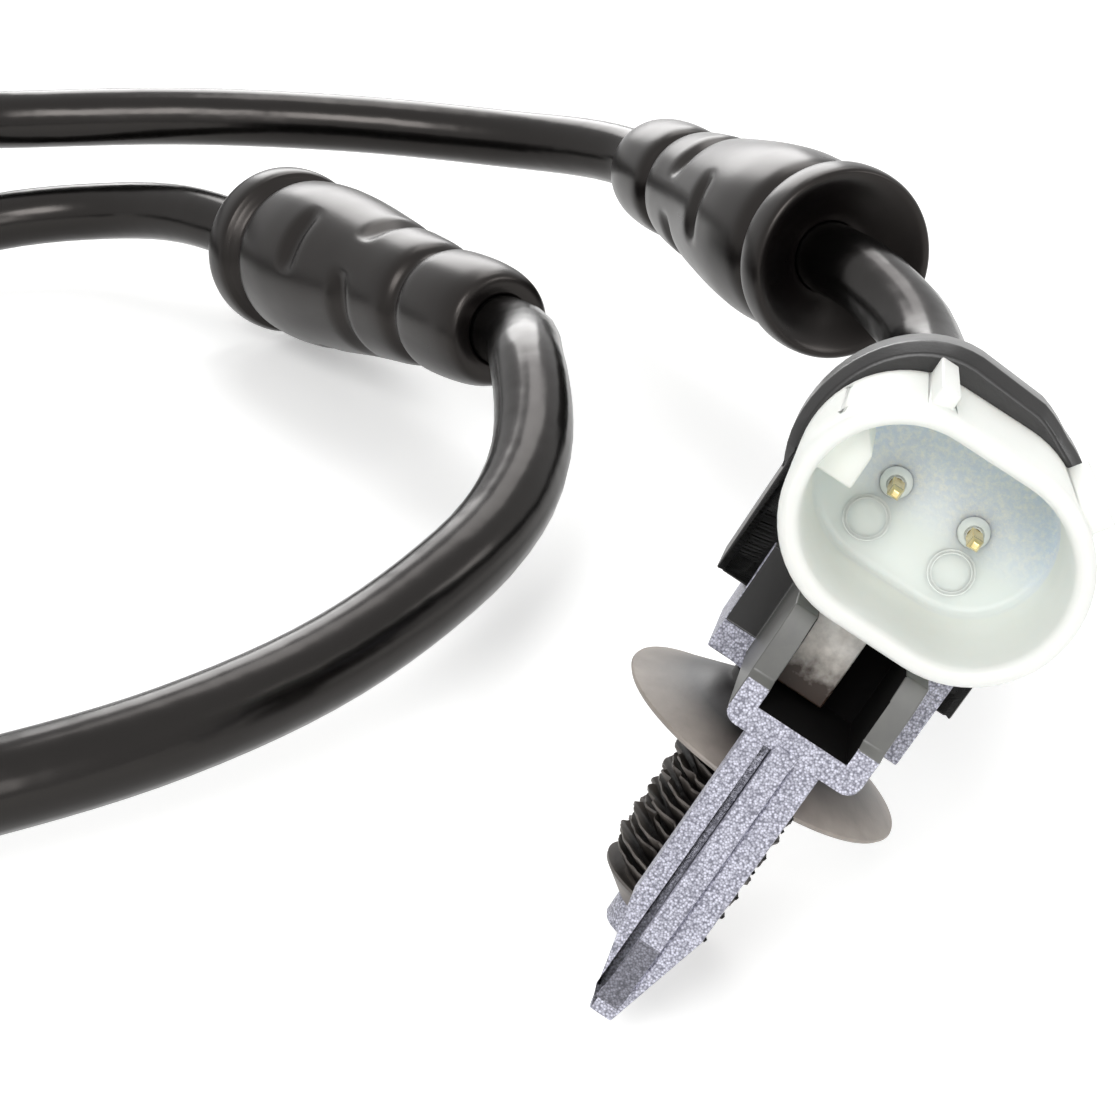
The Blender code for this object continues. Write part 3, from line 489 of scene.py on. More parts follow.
# The same nylon in thin raised marks, where it cooled first and stayed whiter, in clouds of 0.5 mm
thin_nylon, tree, shader, mm = new_material("natural_nylon_thin_edges", Roughness=0.3, IOR=1.53)
cloud = add(tree, "ShaderNodeTexNoise", {"Vector": mm, "Scale": 2.0, "Detail": 2.0})
tone = add(
    tree, "ShaderNodeMix", {0: cloud.outputs[0], 6: linear("#e6ebe8"), 7: linear("#f8faf8")},
    data_type="RGBA",
)
tree.links.new(tone.outputs[2], shader.inputs["Base Color"])


def shrunk(inset):
    """Outline of the shroud, set in by a distance."""
    return stadium(SHROUD_HALF_W - inset, SHROUD_HALF_H - inset)


plug = stadium(SHROUD_HALF_W - PLUG_STEP, SHROUD_HALF_H - PLUG_STEP)
shroud = loft(
    [
        (0, shrunk(0.45)), (0.06, shrunk(0.25)), (0.2, shrunk(0.1)), (0.42, shrunk(0)),
        (SHROUD_DEPTH, shrunk(0)), (SHROUD_DEPTH, plug), (PLUG_END, plug),
    ]
)
wall = SHROUD_WALL
mouth = loft([
    (-1, shrunk(wall - 0.4)), (0, shrunk(wall - 0.4)), (0.12, shrunk(wall - 0.15)), (0.45, shrunk(wall)),
    (FLOOR_AT - 0.5, shrunk(wall + SHROUD_DRAFT)), (FLOOR_AT - 0.15, shrunk(wall + SHROUD_DRAFT + 0.15)),
    (FLOOR_AT, shrunk(wall + SHROUD_DRAFT + 0.5)),
])
top = SHROUD_HALF_H
along_body = (1.2, SHROUD_DEPTH - 0.2)
rib = block((RIB_AT - RIB_WIDTH / 2, RIB_AT + RIB_WIDTH / 2), along_body, (top - 0.5, top + RIB_HEIGHT))
lug = block((-LUG_WIDTH / 2, LUG_WIDTH / 2), along_body, (top - 0.5, top + LUG_HEIGHT))
lug.transform(Matrix.Translation((MID_X + SHROUD_HALF_W - SHROUD_HALF_H, 0, 0))
              @ Matrix.Rotation(radians(90 - LUG_ANGLE_DEG), 4, "Y"))
left = MID_X - SHROUD_HALF_W + wall - 0.4
key = prism([
    (left, KEY_BOTTOM), (left + KEY_WIDTH, KEY_BOTTOM), (left + KEY_WIDTH, KEY_BOTTOM + KEY_SIDE),
    (left + KEY_WIDTH - KEY_CHAMFER, KEY_BOTTOM + KEY_HEIGHT), (left, KEY_BOTTOM + KEY_HEIGHT),
], KEY_FRONT, FLOOR_AT + 0.5)
tongue = block(TONGUE_X, TONGUE_Y, (TONGUE_BOTTOM, -top + wall / 2))
back = (0, 1, 0)
half_pin = PIN_SIDE / 2 + 0.03
pin_cuts, marks = [], []
for side, x in enumerate(PIN_X):
    pin_cuts.append(
        block((x - half_pin, x + half_pin), (FLOOR_AT - 1, PLUG_END + 1), (-half_pin, half_pin))
    )
    collar = [(0.33, -0.3), (0.9, -0.3), (0.75, 0.3), (0.55, 0.6), (0.4, 0.66), (0.33, 0.62)]
    marks.append(turned([(r, -z) for r, z in collar], along((x, FLOOR_AT, 0), back), 40))
    ring_x = MID_X + (side - 0.5) * RING_MARK_PITCH
    ring = [(RING_MARK_R + RING_MARK_WIDTH / 2 * cos(a), 0.045 * sin(a))
            for a in (pi * k / 5 for k in range(10))]
    marks.append(turned(ring, along((ring_x, FLOOR_AT, -RING_MARK_DROP), back), 48))
housing = carved(shroud, [rib, lug], [mouth])
housing = carved(housing, [key, tongue], pin_cuts)
moulded(
    "connector_shroud", housing, connector, 0.12, "connector_housing", [nylon, thin_nylon],
    extra=marks,
)

# Terminals: tin-bronze pins stamped square and gold plated, each pressed into its bore in the floor,
# with a crimp barrel behind that holds a core's bare copper.


def refined(node, edge, material):
    """A CAD solid taken as it is, with flat faces whole again, rounded edges and its own finish."""
    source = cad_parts[node]
    mesh = bmesh.new()
    mesh.from_mesh(source.data)
    mesh.transform(Matrix.Scale(1 / MM, 4) @ source.matrix_world)
    return moulded(node + "_finished", mesh, Matrix.Identity(4), edge, node, [material])


# Gold plate on stamped bronze: pale gold, with worn and bright patches of about 0.25 mm
gold, tree, shader, mm = new_material("gold_plated_bronze_stamped", Metallic=1.0, Roughness=0.22)
lines = add(tree, "ShaderNodeTexNoise", {"Vector": in_frame(tree, connector), "Scale": 4.0, "Detail": 3.0})
tone = add(
    tree, "ShaderNodeMix", {0: lines.outputs[0], 6: linear("#ffeeb6"), 7: linear("#ecd089")},
    data_type="RGBA",
)
tree.links.new(tone.outputs[2], shader.inputs["Base Color"])
gloss = add(tree, "ShaderNodeMapRange", {0: lines.outputs[0], "To Min": 0.14, "To Max": 0.34})
tree.links.new(gloss.outputs[0], shader.inputs["Roughness"])
for node in ("terminal_pin_1", "terminal_pin_2"):
    refined(node, 0.06, gold)

# Cores: stranded copper in brown PVC insulation, stripped at the ends. They run from the crimp barrels
# through the seal into the cable, where the jacket covers them.

# Brown PVC, extruded thin: even and half matt, clouded over about a millimetre
core_pvc, tree, shader, mm = new_material("brown_pvc_extruded", Roughness=0.4, IOR=1.54)
cloud = add(tree, "ShaderNodeTexNoise", {"Vector": mm, "Scale": 0.8, "Detail": 3.0})
tone = add(
    tree, "ShaderNodeMix", {0: cloud.outputs[0], 6: linear("#5c3a22"), 7: linear("#6d4730")},
    data_type="RGBA",
)
tree.links.new(tone.outputs[2], shader.inputs["Base Color"])
for node in ("core_1", "core_2"):
    refined(node, 0.04, core_pvc)

# Drawn copper: bright pink-orange, with darker strands about 0.3 mm wide
copper, tree, shader, mm = new_material("copper_drawn", Metallic=1.0, Roughness=0.3)
strands = add(tree, "ShaderNodeTexNoise", {"Vector": mm, "Scale": 3.0, "Detail": 2.0})
tone = add(
    tree, "ShaderNodeMix", {0: strands.outputs[0], 6: linear("#d9936c"), 7: linear("#b8714c")},
    data_type="RGBA",
)
tree.links.new(tone.outputs[2], shader.inputs["Base Color"])
for node in ("copper_end_1", "copper_end_2"):
    refined(node, 0.03, copper)

# Mat seal: soft silicone rubber, moulded with two holes and squeezed behind the housing's plug around
# both cores. Red-brown and dull, clouded over about a millimetre.
silicone, tree, shader, mm = new_material("silicone_rubber_moulded", Roughness=0.6, IOR=1.43)
cloud = add(tree, "ShaderNodeTexNoise", {"Vector": mm, "Scale": 1.2, "Detail": 4.0})
tone = add(
    tree, "ShaderNodeMix", {0: cloud.outputs[0], 6: linear("#83402a"), 7: linear("#74351f")},
    data_type="RGBA",
)
tree.links.new(tone.outputs[2], shader.inputs["Base Color"])
refined("wire_seal", 0.2, silicone)

# Rear shell: moulded in black nylon with 30% glass. It slides over the plug from behind, closes round
# the cable and grips the clip base with its two side skirts, whose lips snap into grooves.
SLEEVE_WALL, SLEEVE_RISE, SLEEVE_FRONT, SLEEVE_BACK = 1.25, 1.0, 12.3, 17.0
TAPER_BACK, BOSS_R, GAP = 23.0, 4.9, 0.3
SKIRT_THICK, SKIRT_BOTTOM, BASE_HALF_W = 1.55, -9.4, 5.45
LIP_DEPTH, LIP_HEIGHT = 0.75, 0.7
WINDOW_TOP, WINDOW_BOTTOM, WINDOW_WIDTH = -5.4, -8.0, 0.9
SEAM_IN, SEAM_WIDTH, SEAM_DEPTH, SEAM_TOP = 0.32, 0.14, 0.25, -2.5

# Glass-filled black nylon, smooth from a polished tool: nearly black and satin, clouded over about
# 2 mm, with a fine grit of about 0.2 mm
black_nylon, tree, shader, mm = new_material("black_nylon_moulded", Roughness=0.4, IOR=1.53)
cloud = add(tree, "ShaderNodeTexNoise", {"Vector": mm, "Scale": 0.5, "Detail": 5.0})
tone = add(
    tree, "ShaderNodeMix", {0: cloud.outputs[0], 6: linear("#0d0c0c"), 7: linear("#191716")},
    data_type="RGBA",
)
tree.links.new(tone.outputs[2], shader.inputs["Base Color"])
gloss = add(tree, "ShaderNodeMapRange", {0: cloud.outputs[0], "To Min": 0.28, "To Max": 0.42})
tree.links.new(gloss.outputs[0], shader.inputs["Roughness"])
grit = add(tree, "ShaderNodeTexNoise", {"Vector": mm, "Scale": 6.0, "Detail": 2.0})
bump = add(tree, "ShaderNodeBump", {"Height": grit.outputs[0], "Strength": 0.12, "Distance": 0.00006})
tree.links.new(bump.outputs[0], shader.inputs["Normal"])

# Glass-filled nylon (PA66 with 30% glass), moulded: silver grains of about 0.12 mm on grey, drawn
# about ten times as coarse as the 0.01 mm fibres so that they show; their silver is painted glint of the
# fibres. A darker copy is painted shade on the blade tip's downward facet
grained = []
for name, dark, pale in (
    ("glass_filled_nylon_moulded", "#5d5d6b", "#e2e2f1"),
    ("glass_filled_nylon_painted_shade", "#3d3d45", "#8f8f9b"),
):
    material, tree, shader, mm = new_material(name, Roughness=0.42, IOR=1.53)
    grains = add(tree, "ShaderNodeTexVoronoi", {"Vector": mm, "Scale": 8.0})
    level = add(tree, "ShaderNodeSeparateColor", {0: grains.outputs["Color"]})
    between = add(
        tree, "ShaderNodeMapRange",
        {0: grains.outputs["Distance"], "From Min": 0.3, "From Max": 0.78, "To Min": 1.0, "To Max": 0.15},
    )
    bright = add(tree, "ShaderNodeMapRange", {0: level.outputs[0], "To Min": 0.45, "To Max": 1.05})
    # The grains' silver is painted glint
    painted_glint = add(
        tree, "ShaderNodeMath", {0: bright.outputs[0], 1: between.outputs[0]}, operation="MULTIPLY",
        use_clamp=True,
    )
    tone = add(
        tree, "ShaderNodeMix", {0: painted_glint.outputs[0], 6: linear(dark), 7: linear(pale)}, data_type="RGBA",
    )
    tree.links.new(tone.outputs[2], shader.inputs["Base Color"])
    gloss = add(tree, "ShaderNodeMapRange", {0: level.outputs[1], "To Min": 0.3, "To Max": 0.6})
    tree.links.new(gloss.outputs[0], shader.inputs["Roughness"])
    bump = add(tree, "ShaderNodeBump", {"Height": level.outputs[0], "Strength": 0.35, "Distance": 0.00003})
    tree.links.new(bump.outputs[0], shader.inputs["Normal"])
    grained.append(material)
graphite, shaded_graphite = grained


def sleeve_outline(inset, share=1.0, side_share=None):
    """Outline of the sleeve, higher on top than below, blended towards the round boss. Its width
    can follow the boss later than its height does, as the seal inside is wide and low."""
    half_w = SHROUD_HALF_W - PLUG_STEP + GAP + SLEEVE_WALL
    half_h = SHROUD_HALF_H - PLUG_STEP + GAP + SLEEVE_WALL
    wide = stadium(half_w - inset, half_h - inset)
    boss = stadium(BOSS_R + 0.01, BOSS_R)
    rise = 1 + SLEEVE_RISE / half_h
    tall = [(x, z * (rise - 0.13 * min(max((x - 1.2) / 3, 0), 1)) if z > 0 else z) for x, z in wide]
    wide_share = share if side_share is None else side_share
    return [(a * wide_share + c * (1 - wide_share), b * share + d * (1 - share))
            for (a, b), (c, d) in zip(tall, boss)]


shell = loft(
    [
        (SLEEVE_FRONT, sleeve_outline(0.6)), (SLEEVE_FRONT + 0.1, sleeve_outline(0.45)),
        (SLEEVE_FRONT + 0.75, sleeve_outline(0)), (SLEEVE_BACK - 0.8, sleeve_outline(0)),
        (SLEEVE_BACK, sleeve_outline(0.12)), (SLEEVE_BACK + 0.8, sleeve_outline(0, 0.86, 0.96)),
        (SLEEVE_BACK + 3, sleeve_outline(0, 0.52, 0.88)), (TAPER_BACK - 1.6, sleeve_outline(0, 0.36, 0.79)),
        (TAPER_BACK - 0.6, sleeve_outline(0, 0.12, 0.4)), (TAPER_BACK, sleeve_outline(0, 0.0)),
        (SHELL_END, sleeve_outline(0, 0.0)),
    ]
)
joined, windows = [], []
for sign in (-1, 1):
    inner = MID_X + sign * (BASE_HALF_W + GAP)
    joined.append(
        block(sorted((inner, inner + sign * SKIRT_THICK)), (SLEEVE_FRONT, SLEEVE_BACK), (SKIRT_BOTTOM, 0))
    )
    joined.append(block(sorted((inner + sign * 0.3, inner - sign * LIP_DEPTH)), (SLEEVE_FRONT, SLEEVE_BACK),
                        (SKIRT_BOTTOM, SKIRT_BOTTOM + LIP_HEIGHT)))
    windows.append(block(sorted((inner - sign * 0.2, inner + sign * WINDOW_WIDTH)),
                         (SLEEVE_FRONT - 1, SLEEVE_BACK - 1.2), (WINDOW_BOTTOM, WINDOW_TOP)))
    joined.append(
        block(
            sorted((inner + sign * 0.3, inner - sign * (GAP - 0.04))), (SLEEVE_BACK - 1.2, SLEEVE_BACK),
            (SKIRT_BOTTOM + LIP_HEIGHT - 0.1, WINDOW_TOP + 0.6),
        )
    )
    seam = inner + sign * (SKIRT_THICK - SEAM_IN)
    windows.append(
        block(
            sorted((seam, seam + sign * SEAM_WIDTH)), (SLEEVE_FRONT - 1, SLEEVE_FRONT + SEAM_DEPTH),
            (SKIRT_BOTTOM - 1, SEAM_TOP),
        )
    )
room = stadium(SHROUD_HALF_W - PLUG_STEP + GAP, SHROUD_HALF_H - PLUG_STEP + GAP)
narrow = stadium(BOSS_R - 1.2, BOSS_R - 1.25)
hollow = loft([(SLEEVE_FRONT - 1, room), (PLUG_END + 2.2, room), (TAPER_BACK, narrow)])
bore_r = CABLE_D / 2 + GAP
bore = turned([(0, 0), (bore_r, 0), (bore_r, 7), (0, 7)], along((MID_X, TAPER_BACK - 1, 0), back), 48)
shell = carved(shell, joined[:3])
shell = carved(shell, joined[3:])
shell = carved(shell, (), windows)
shell = carved(shell, (), [hollow, bore])
# Painted light: the right skirt's front faces take the grained silver, the rest is black nylon
moulded("rear_shell_dressed", shell, connector, 0.1, "rear_shell", [black_nylon, graphite],
        choose=lambda centre, normal: int(normal.y < -0.9 and centre.z < -5 and centre.x > 0))

# Clip base: a sled moulded in glass-filled nylon that the housing's tongue hooks into, with an open
# channel in front and a ribbed blade that finds its slot in the panel. The moulding flash was left on
# the blade's edge.
BASE_FRONT, BASE_BACK, BASE_BOTTOM, BASE_TOP, RIGHT_LIP_X = 11.4, 19.0, -13.0, -6.5, 6.6
CHANNEL_MID, CHANNEL_HALF_W, CHANNEL_WALL, CHANNEL_FRONT = 0.6, 3.8, 1.3, 2.4
CHANNEL_TOP, CHANNEL_KINK, CHANNEL_FACET, CHANNEL_FLOOR, CAVITY_BACK = -6.9, -7.9, -10.2, 1.4, 9.0
BLADE_MID, BLADE_HALF_W, BLADE_THICK, BLADE_SHOULDER, BLADE_END = 0.4, 2.1, 1.6, -23.6, -29.9
BLADE_TIP_HALF_W, RIB_HALF_W, RIB_PROUD = 0.65, 0.65, 0.45
STUD_Y, STUD_NECK_R, STUD_HEAD_R, STUD_HEAD_THICK = 13.0, 2.3, 3.0, 1.2
CORNER_R, SLOT_FLOOR = 0.8, 0.9

# The same nylon where a polished core of the mould left it smooth: plain dark grey on the facets, in
# clouds of about 1 mm, scuffed every 0.2 mm
smooth_grey, tree, shader, mm = new_material("glass_filled_nylon_polished", Roughness=0.38, IOR=1.53)
cloud = add(tree, "ShaderNodeTexNoise", {"Vector": mm, "Scale": 0.9, "Detail": 4.0})
tone = add(
    tree, "ShaderNodeMix", {0: cloud.outputs[0], 6: linear("#535353"), 7: linear("#686864")},
    data_type="RGBA",
)
tree.links.new(tone.outputs[2], shader.inputs["Base Color"])
scuff = add(tree, "ShaderNodeTexNoise", {"Vector": mm, "Scale": 5.0, "Detail": 2.0})
bump = add(tree, "ShaderNodeBump", {"Height": scuff.outputs[0], "Strength": 0.1, "Distance": 0.00004})
tree.links.new(bump.outputs[0], shader.inputs["Normal"])

# The channel's inside: near black as painted shade where the deep channel gets no light, matt, mottled over
# 0.4 mm
channel_shade_black, tree, shader, mm = new_material("black_nylon_channel_painted_shade", Roughness=0.9, IOR=1.53)
cloud = add(tree, "ShaderNodeTexNoise", {"Vector": mm, "Scale": 2.5, "Detail": 4.0})
tone = add(
    tree, "ShaderNodeMix", {0: cloud.outputs[0], 6: linear("#050505"), 7: linear("#0f0d0d")},
    data_type="RGBA",
)
tree.links.new(tone.outputs[2], shader.inputs["Base Color"])
shader.inputs["Specular IOR Level"].default_value = 0.1

front, behind = CHANNEL_FRONT, BASE_FRONT + 0.4
side_view = [
    (front + 1.1, CHANNEL_TOP + 0.4), (front + 0.55, CHANNEL_KINK), (front + 0.4, CHANNEL_FACET),
    (front, CHANNEL_FACET - 0.4), (front, BASE_BOTTOM), (behind, BASE_BOTTOM), (behind, CHANNEL_TOP + 0.4),
]
sides = (CHANNEL_MID - CHANNEL_HALF_W, CHANNEL_MID + CHANNEL_HALF_W)
corner_cuts = []
for sign in (-1, 1):
    edge = CHANNEL_MID + sign * CHANNEL_HALF_W
    bend = [(edge - sign * CORNER_R * (1 - cos(a)), BASE_BOTTOM + CORNER_R * (1 - sin(a)))
            for a in (pi * k / 16 for k in range(9))]
    corner_cuts.append(prism([(edge + sign, BASE_BOTTOM - 1), (edge + sign, BASE_BOTTOM + CORNER_R)] + bend
                             + [(edge - sign * CORNER_R, BASE_BOTTOM - 1)], front - 1, BASE_FRONT))
    corner_cuts.append(block(
        sorted((MID_X + sign * (BASE_HALF_W + 1), MID_X + sign * (BASE_HALF_W - LIP_DEPTH))),
        (SLEEVE_FRONT - GAP, SLEEVE_BACK + GAP), (SKIRT_BOTTOM - GAP, SKIRT_BOTTOM + LIP_HEIGHT + GAP)))
cavity = block(
    (sides[0] + CHANNEL_WALL, sides[1] - CHANNEL_WALL), (front - 1, CAVITY_BACK),
    (BASE_BOTTOM + CHANNEL_FLOOR, 0),
)
slot_top = BASE_BOTTOM + SLOT_FLOOR + STUD_HEAD_THICK + 2 * GAP
neck_slot = block((MID_X - STUD_NECK_R - GAP, MID_X + STUD_NECK_R + GAP),
                  (STUD_Y - STUD_NECK_R - GAP, BASE_BACK + 1), (BASE_BOTTOM - 2, slot_top - 0.5))
head_slot = block((MID_X - STUD_HEAD_R - GAP, MID_X + STUD_HEAD_R + GAP),
                  (STUD_Y - STUD_HEAD_R - GAP, BASE_BACK + 1), (BASE_BOTTOM + SLOT_FLOOR, slot_top))
base = block((MID_X - BASE_HALF_W, MID_X + BASE_HALF_W), (BASE_FRONT, BASE_BACK), (BASE_BOTTOM, BASE_TOP))
smooth_step = block(
    (MID_X - BASE_HALF_W - 1, sides[0]), (BASE_FRONT - 1, BASE_FRONT + 0.15), (BASE_BOTTOM + 1.7, 0),
)
flange = block(
    (sides[1] - 0.2, RIGHT_LIP_X), (BASE_FRONT, SLEEVE_FRONT - GAP),
    (BASE_BOTTOM + 0.15, CHANNEL_TOP - 0.2),
)
base = carved(
    base, [prism(side_view, *sides, axis="x"), flange],
    corner_cuts + [cavity, neck_slot, head_slot, smooth_step],
)
blade_front, half, tip = front + 0.2, BLADE_HALF_W, BLADE_TIP_HALF_W
blade = prism([(BLADE_MID + x, z) for x, z in (
    (-half, BASE_BOTTOM + 0.6), (half, BASE_BOTTOM + 0.6), (half, BLADE_SHOULDER), (tip, BLADE_END),
    (-tip, BLADE_END), (-half, BLADE_SHOULDER))], blade_front, blade_front + BLADE_THICK)
proud = blade_front - RIB_PROUD
rib_left, rib_right = BLADE_MID - RIB_HALF_W, BLADE_MID + RIB_HALF_W + 0.05
rib_view = [
    (blade_front + 0.4, BASE_BOTTOM + 0.4), (proud, BASE_BOTTOM + 0.4), (proud, BLADE_SHOULDER - 1.4),
    (blade_front + 0.05, BLADE_END + 0.3), (blade_front + 0.4, BLADE_END + 0.3),
]
blade_rib = prism(rib_view, rib_left + 0.05, rib_right, axis="x")
blade_cuts = [
    block(
        (rib_left - 0.3, rib_left + 0.05), (blade_front - 1, blade_front + 0.5),
        (BLADE_END + 1.5, BASE_BOTTOM - 0.02),
    ),
    block(
        (rib_right - 0.06, rib_right + 0.06), (proud - 1, blade_front + 0.15),
        (BLADE_END + 2.2, BASE_BOTTOM - 0.3),
    ),
]
# Flash torn off in crumbs along the blade's right edge: distance below the base and radius of each
CRUMBS = ((2.6, 0.16), (3.4, 0.1), (5.1, 0.2), (6.0, 0.12), (7.6, 0.18), (8.9, 0.22), (10.4, 0.12))
burrs = []
for number, (drop, size) in enumerate(CRUMBS):
    at = (BLADE_MID + half - 0.05, blade_front + 0.35 + 0.1 * (number % 3), BASE_BOTTOM - drop)
    crumb = [(0, -0.15), (size, -0.1), (size * 0.7, 0.2), (0, 0.35)]
    burrs.append(turned(crumb, along(at, (1, -0.2, -0.3)), 8))
base = carved(base, [blade, blade_rib], blade_cuts)


def clip_face(centre, normal):
    """Grained outside, smooth facets on the channel's walls, black inside it and on the step left of it as
    painted shade, and the shaded copy on the blade tip's downward facet.
    """
    x, y, z = centre
    in_channel = sides[0] < x < sides[1] and y < BASE_FRONT
    inside = sides[0] + CHANNEL_WALL - 0.01 < x < sides[1] - CHANNEL_WALL + 0.01 and y < CAVITY_BACK + 0.01
    # Painted shade: the channel's inside is near black
    if in_channel and inside and z > BASE_BOTTOM + CHANNEL_FLOOR - 0.01 and y > front + 0.05:
        return 2
    outer_side = abs(normal.x) > 0.9 and y < BASE_FRONT and z > BASE_BOTTOM
    if in_channel and z > CHANNEL_FACET - 0.25 or outer_side:
        return 1
    # Painted shade: the blade tip's downward facet takes the darker copy
    on_tip = abs(x - BLADE_MID) < RIB_HALF_W and z < BLADE_SHOULDER - 1.4
    if on_tip and y < blade_front + 0.1 and normal.z < -0.02:
        return 4
    # Painted shade: the step's face left of the channel is black nylon
    if x < sides[0] and BASE_FRONT + 0.05 < y < BASE_FRONT + 0.3 and normal.y < -0.9:
        return 3
    return 0


moulded("clip_base_dressed", base, connector, 0.1, "clip_base",
        [graphite, smooth_grey, channel_shade_black, black_nylon, shaded_graphite],
        choose=clip_face, extra=burrs)

# Push-in stud: moulded in tough black nylon. Its head slides into the clip base's slot. The umbrella
# presses on the panel as a spring seal, and the thin fins fold past the hole's edge, which leaves
# them ragged.
DISC_R, DISC_TOP, DISC_DROP, DISC_THICK = 8.3, -14.0, 2.2, 0.5
FIN_R, FIN_COUNT, FIN_PITCH, FIN_FIRST, STUD_CORE_R = 3.9, 12, 0.7, -18.2, 2.2
STUD_TIP_LENGTH, STUD_END_R, STUD_END_BLOCK = 3.1, 1.7, 1.2

# Tough nylon without glass: black, with painted light on the umbrella's rim and on the fins' rims,
# broken up in patches of about 1.5 mm, and paler towards the tip; a grit of about 0.2 mm
stud_nylon, tree, shader, mm = new_material("tough_black_nylon_moulded", Roughness=0.46, IOR=1.53)
axes = add(tree, "ShaderNodeSeparateXYZ", {0: in_frame(tree, connector)})
from_axis = add(tree, "ShaderNodeCombineXYZ", {
    0: add(tree, "ShaderNodeMath", {0: axes.outputs[0], 1: MID_X}, operation="SUBTRACT").outputs[0],
    1: add(tree, "ShaderNodeMath", {0: axes.outputs[1], 1: STUD_Y}, operation="SUBTRACT").outputs[0]})
radius = add(tree, "ShaderNodeVectorMath", {0: from_axis.outputs[0]}, operation="LENGTH")
# Painted light: the umbrella's rim and the fins' rims are paler, in patches
rim = add(tree, "ShaderNodeMapRange", {0: radius.outputs["Value"], "From Min": 5.4, "From Max": DISC_R})
light_patches = add(tree, "ShaderNodeTexNoise", {"Vector": mm, "Scale": 0.7, "Detail": 6.0})
spread = add(
    tree, "ShaderNodeMapRange",
    {0: light_patches.outputs[0], "From Min": 0.25, "From Max": 0.75, "To Min": 0.75, "To Max": 1.1},
)
painted_shading = add(
    tree, "ShaderNodeMath", {0: rim.outputs[0], 1: spread.outputs[0]}, operation="MULTIPLY", use_clamp=True,
)
on_fins = add(
    tree, "ShaderNodeMapRange",
    {0: radius.outputs["Value"], "From Min": STUD_CORE_R + 0.4, "From Max": FIN_R, "To Max": 0.38},
)
below_disc = add(
    tree, "ShaderNodeMapRange",
    {0: axes.outputs[2], "From Min": FIN_FIRST + 1.4, "From Max": FIN_FIRST + 0.6},
)
fin_rims = add(
    tree, "ShaderNodeMath", {0: on_fins.outputs[0], 1: below_disc.outputs[0]}, operation="MULTIPLY",
)
tip_zone = add(
    tree, "ShaderNodeMapRange", {0: axes.outputs[2], "From Min": -26.3, "From Max": -27.0, "To Max": 0.5},
)
painted_shading = add(tree, "ShaderNodeMath", {0: painted_shading.outputs[0], 1: fin_rims.outputs[0]}, operation="MAXIMUM")
painted_shading = add(tree, "ShaderNodeMath", {0: painted_shading.outputs[0], 1: tip_zone.outputs[0]}, operation="MAXIMUM")
tone = add(
    tree, "ShaderNodeMix", {0: painted_shading.outputs[0], 6: linear("#130f0e"), 7: linear("#978e86")},
    data_type="RGBA",
)
tree.links.new(tone.outputs[2], shader.inputs["Base Color"])
grit = add(tree, "ShaderNodeTexNoise", {"Vector": mm, "Scale": 5.0, "Detail": 3.0})
bump = add(tree, "ShaderNodeBump", {"Height": grit.outputs[0], "Strength": 0.15, "Distance": 0.00006})
tree.links.new(bump.outputs[0], shader.inputs["Normal"])

head_top = BASE_BOTTOM + SLOT_FLOOR + GAP + STUD_HEAD_THICK
disc_rim = DISC_TOP - DISC_DROP
profile = [
    (0, head_top), (STUD_HEAD_R - 0.15, head_top), (STUD_HEAD_R, head_top - 0.15),
    (STUD_HEAD_R, head_top - STUD_HEAD_THICK), (STUD_NECK_R, head_top - STUD_HEAD_THICK),
    (STUD_NECK_R, BASE_BOTTOM - GAP), (STUD_NECK_R + 1.2, BASE_BOTTOM - GAP),
    (STUD_NECK_R + 1.2, DISC_TOP + 0.15), (STUD_NECK_R + 1.4, DISC_TOP - 0.08),
    (DISC_R - 0.3, disc_rim + 0.12), (DISC_R - 0.04, disc_rim + 0.03), (DISC_R, disc_rim - 0.08),
    (DISC_R - 0.12, disc_rim - 0.24), (STUD_NECK_R + 1.2, DISC_TOP - DISC_THICK * 1.6),
    (STUD_CORE_R + 0.3, DISC_TOP - DISC_THICK * 2.6), (STUD_CORE_R, DISC_TOP - DISC_THICK * 4),
]
fin_points = []
for number in range(FIN_COUNT):
    z = FIN_FIRST - number * FIN_PITCH
    fin_points += range(len(profile) + 1, len(profile) + 4)
    reach = FIN_R - 0.3 * (number % 2)
    profile += [(STUD_CORE_R, z - 0.1), (reach - 0.1, z + 0.6), (reach, z + 0.62), (reach - 0.03, z + 0.48),
                (STUD_CORE_R, z - 0.5)]
last = FIN_FIRST - FIN_COUNT * FIN_PITCH
end = last - STUD_TIP_LENGTH
profile += [
    (STUD_CORE_R, last - 0.05), (FIN_R - 0.35, last + 0.3), (FIN_R - 0.4, last + 0.1),
    (STUD_END_R, last - 1.4), (STUD_END_R, end + 0.3), (STUD_END_R - 0.12, end + 0.08),
    (STUD_END_R - 0.4, end), (0.45, end), (0.4, end + 0.6), (0, end + 0.6),
]
segments = 96
stud = turned(profile, Matrix.Identity(4), segments)
stud.verts.ensure_lookup_table()
torn = random.Random(7)
notches = [[torn.uniform(0, 2 * pi) for _ in range(6)] for _ in range(len(profile) // 5 + 1)]
for k, point in enumerate(profile):
    if k in fin_points:
        first_vert = 1 + (k - 1) * segments
        for i in range(segments):
            vert = stud.verts[first_vert + i]
            angle = 2 * pi * i / segments
            row = k // 5
            ragged = 0.06 + 0.04 * sin(angle * 9 + row * 1.7) + torn.uniform(0, 0.1)
            ragged += sum(
                0.4 * max(0, 1 - abs((angle - n + pi) % (2 * pi) - pi) / 0.12)
                for n in notches[row]
            )
            vert.co.xy *= 1 - max(0, ragged) / FIN_R
            vert.co.z += 0.04 * sin(angle * 5 + row * 2.1) + 0.03 * sin(angle * 19 + row * 1.3)
stud.transform(Matrix.Translation((MID_X, STUD_Y, 0)))
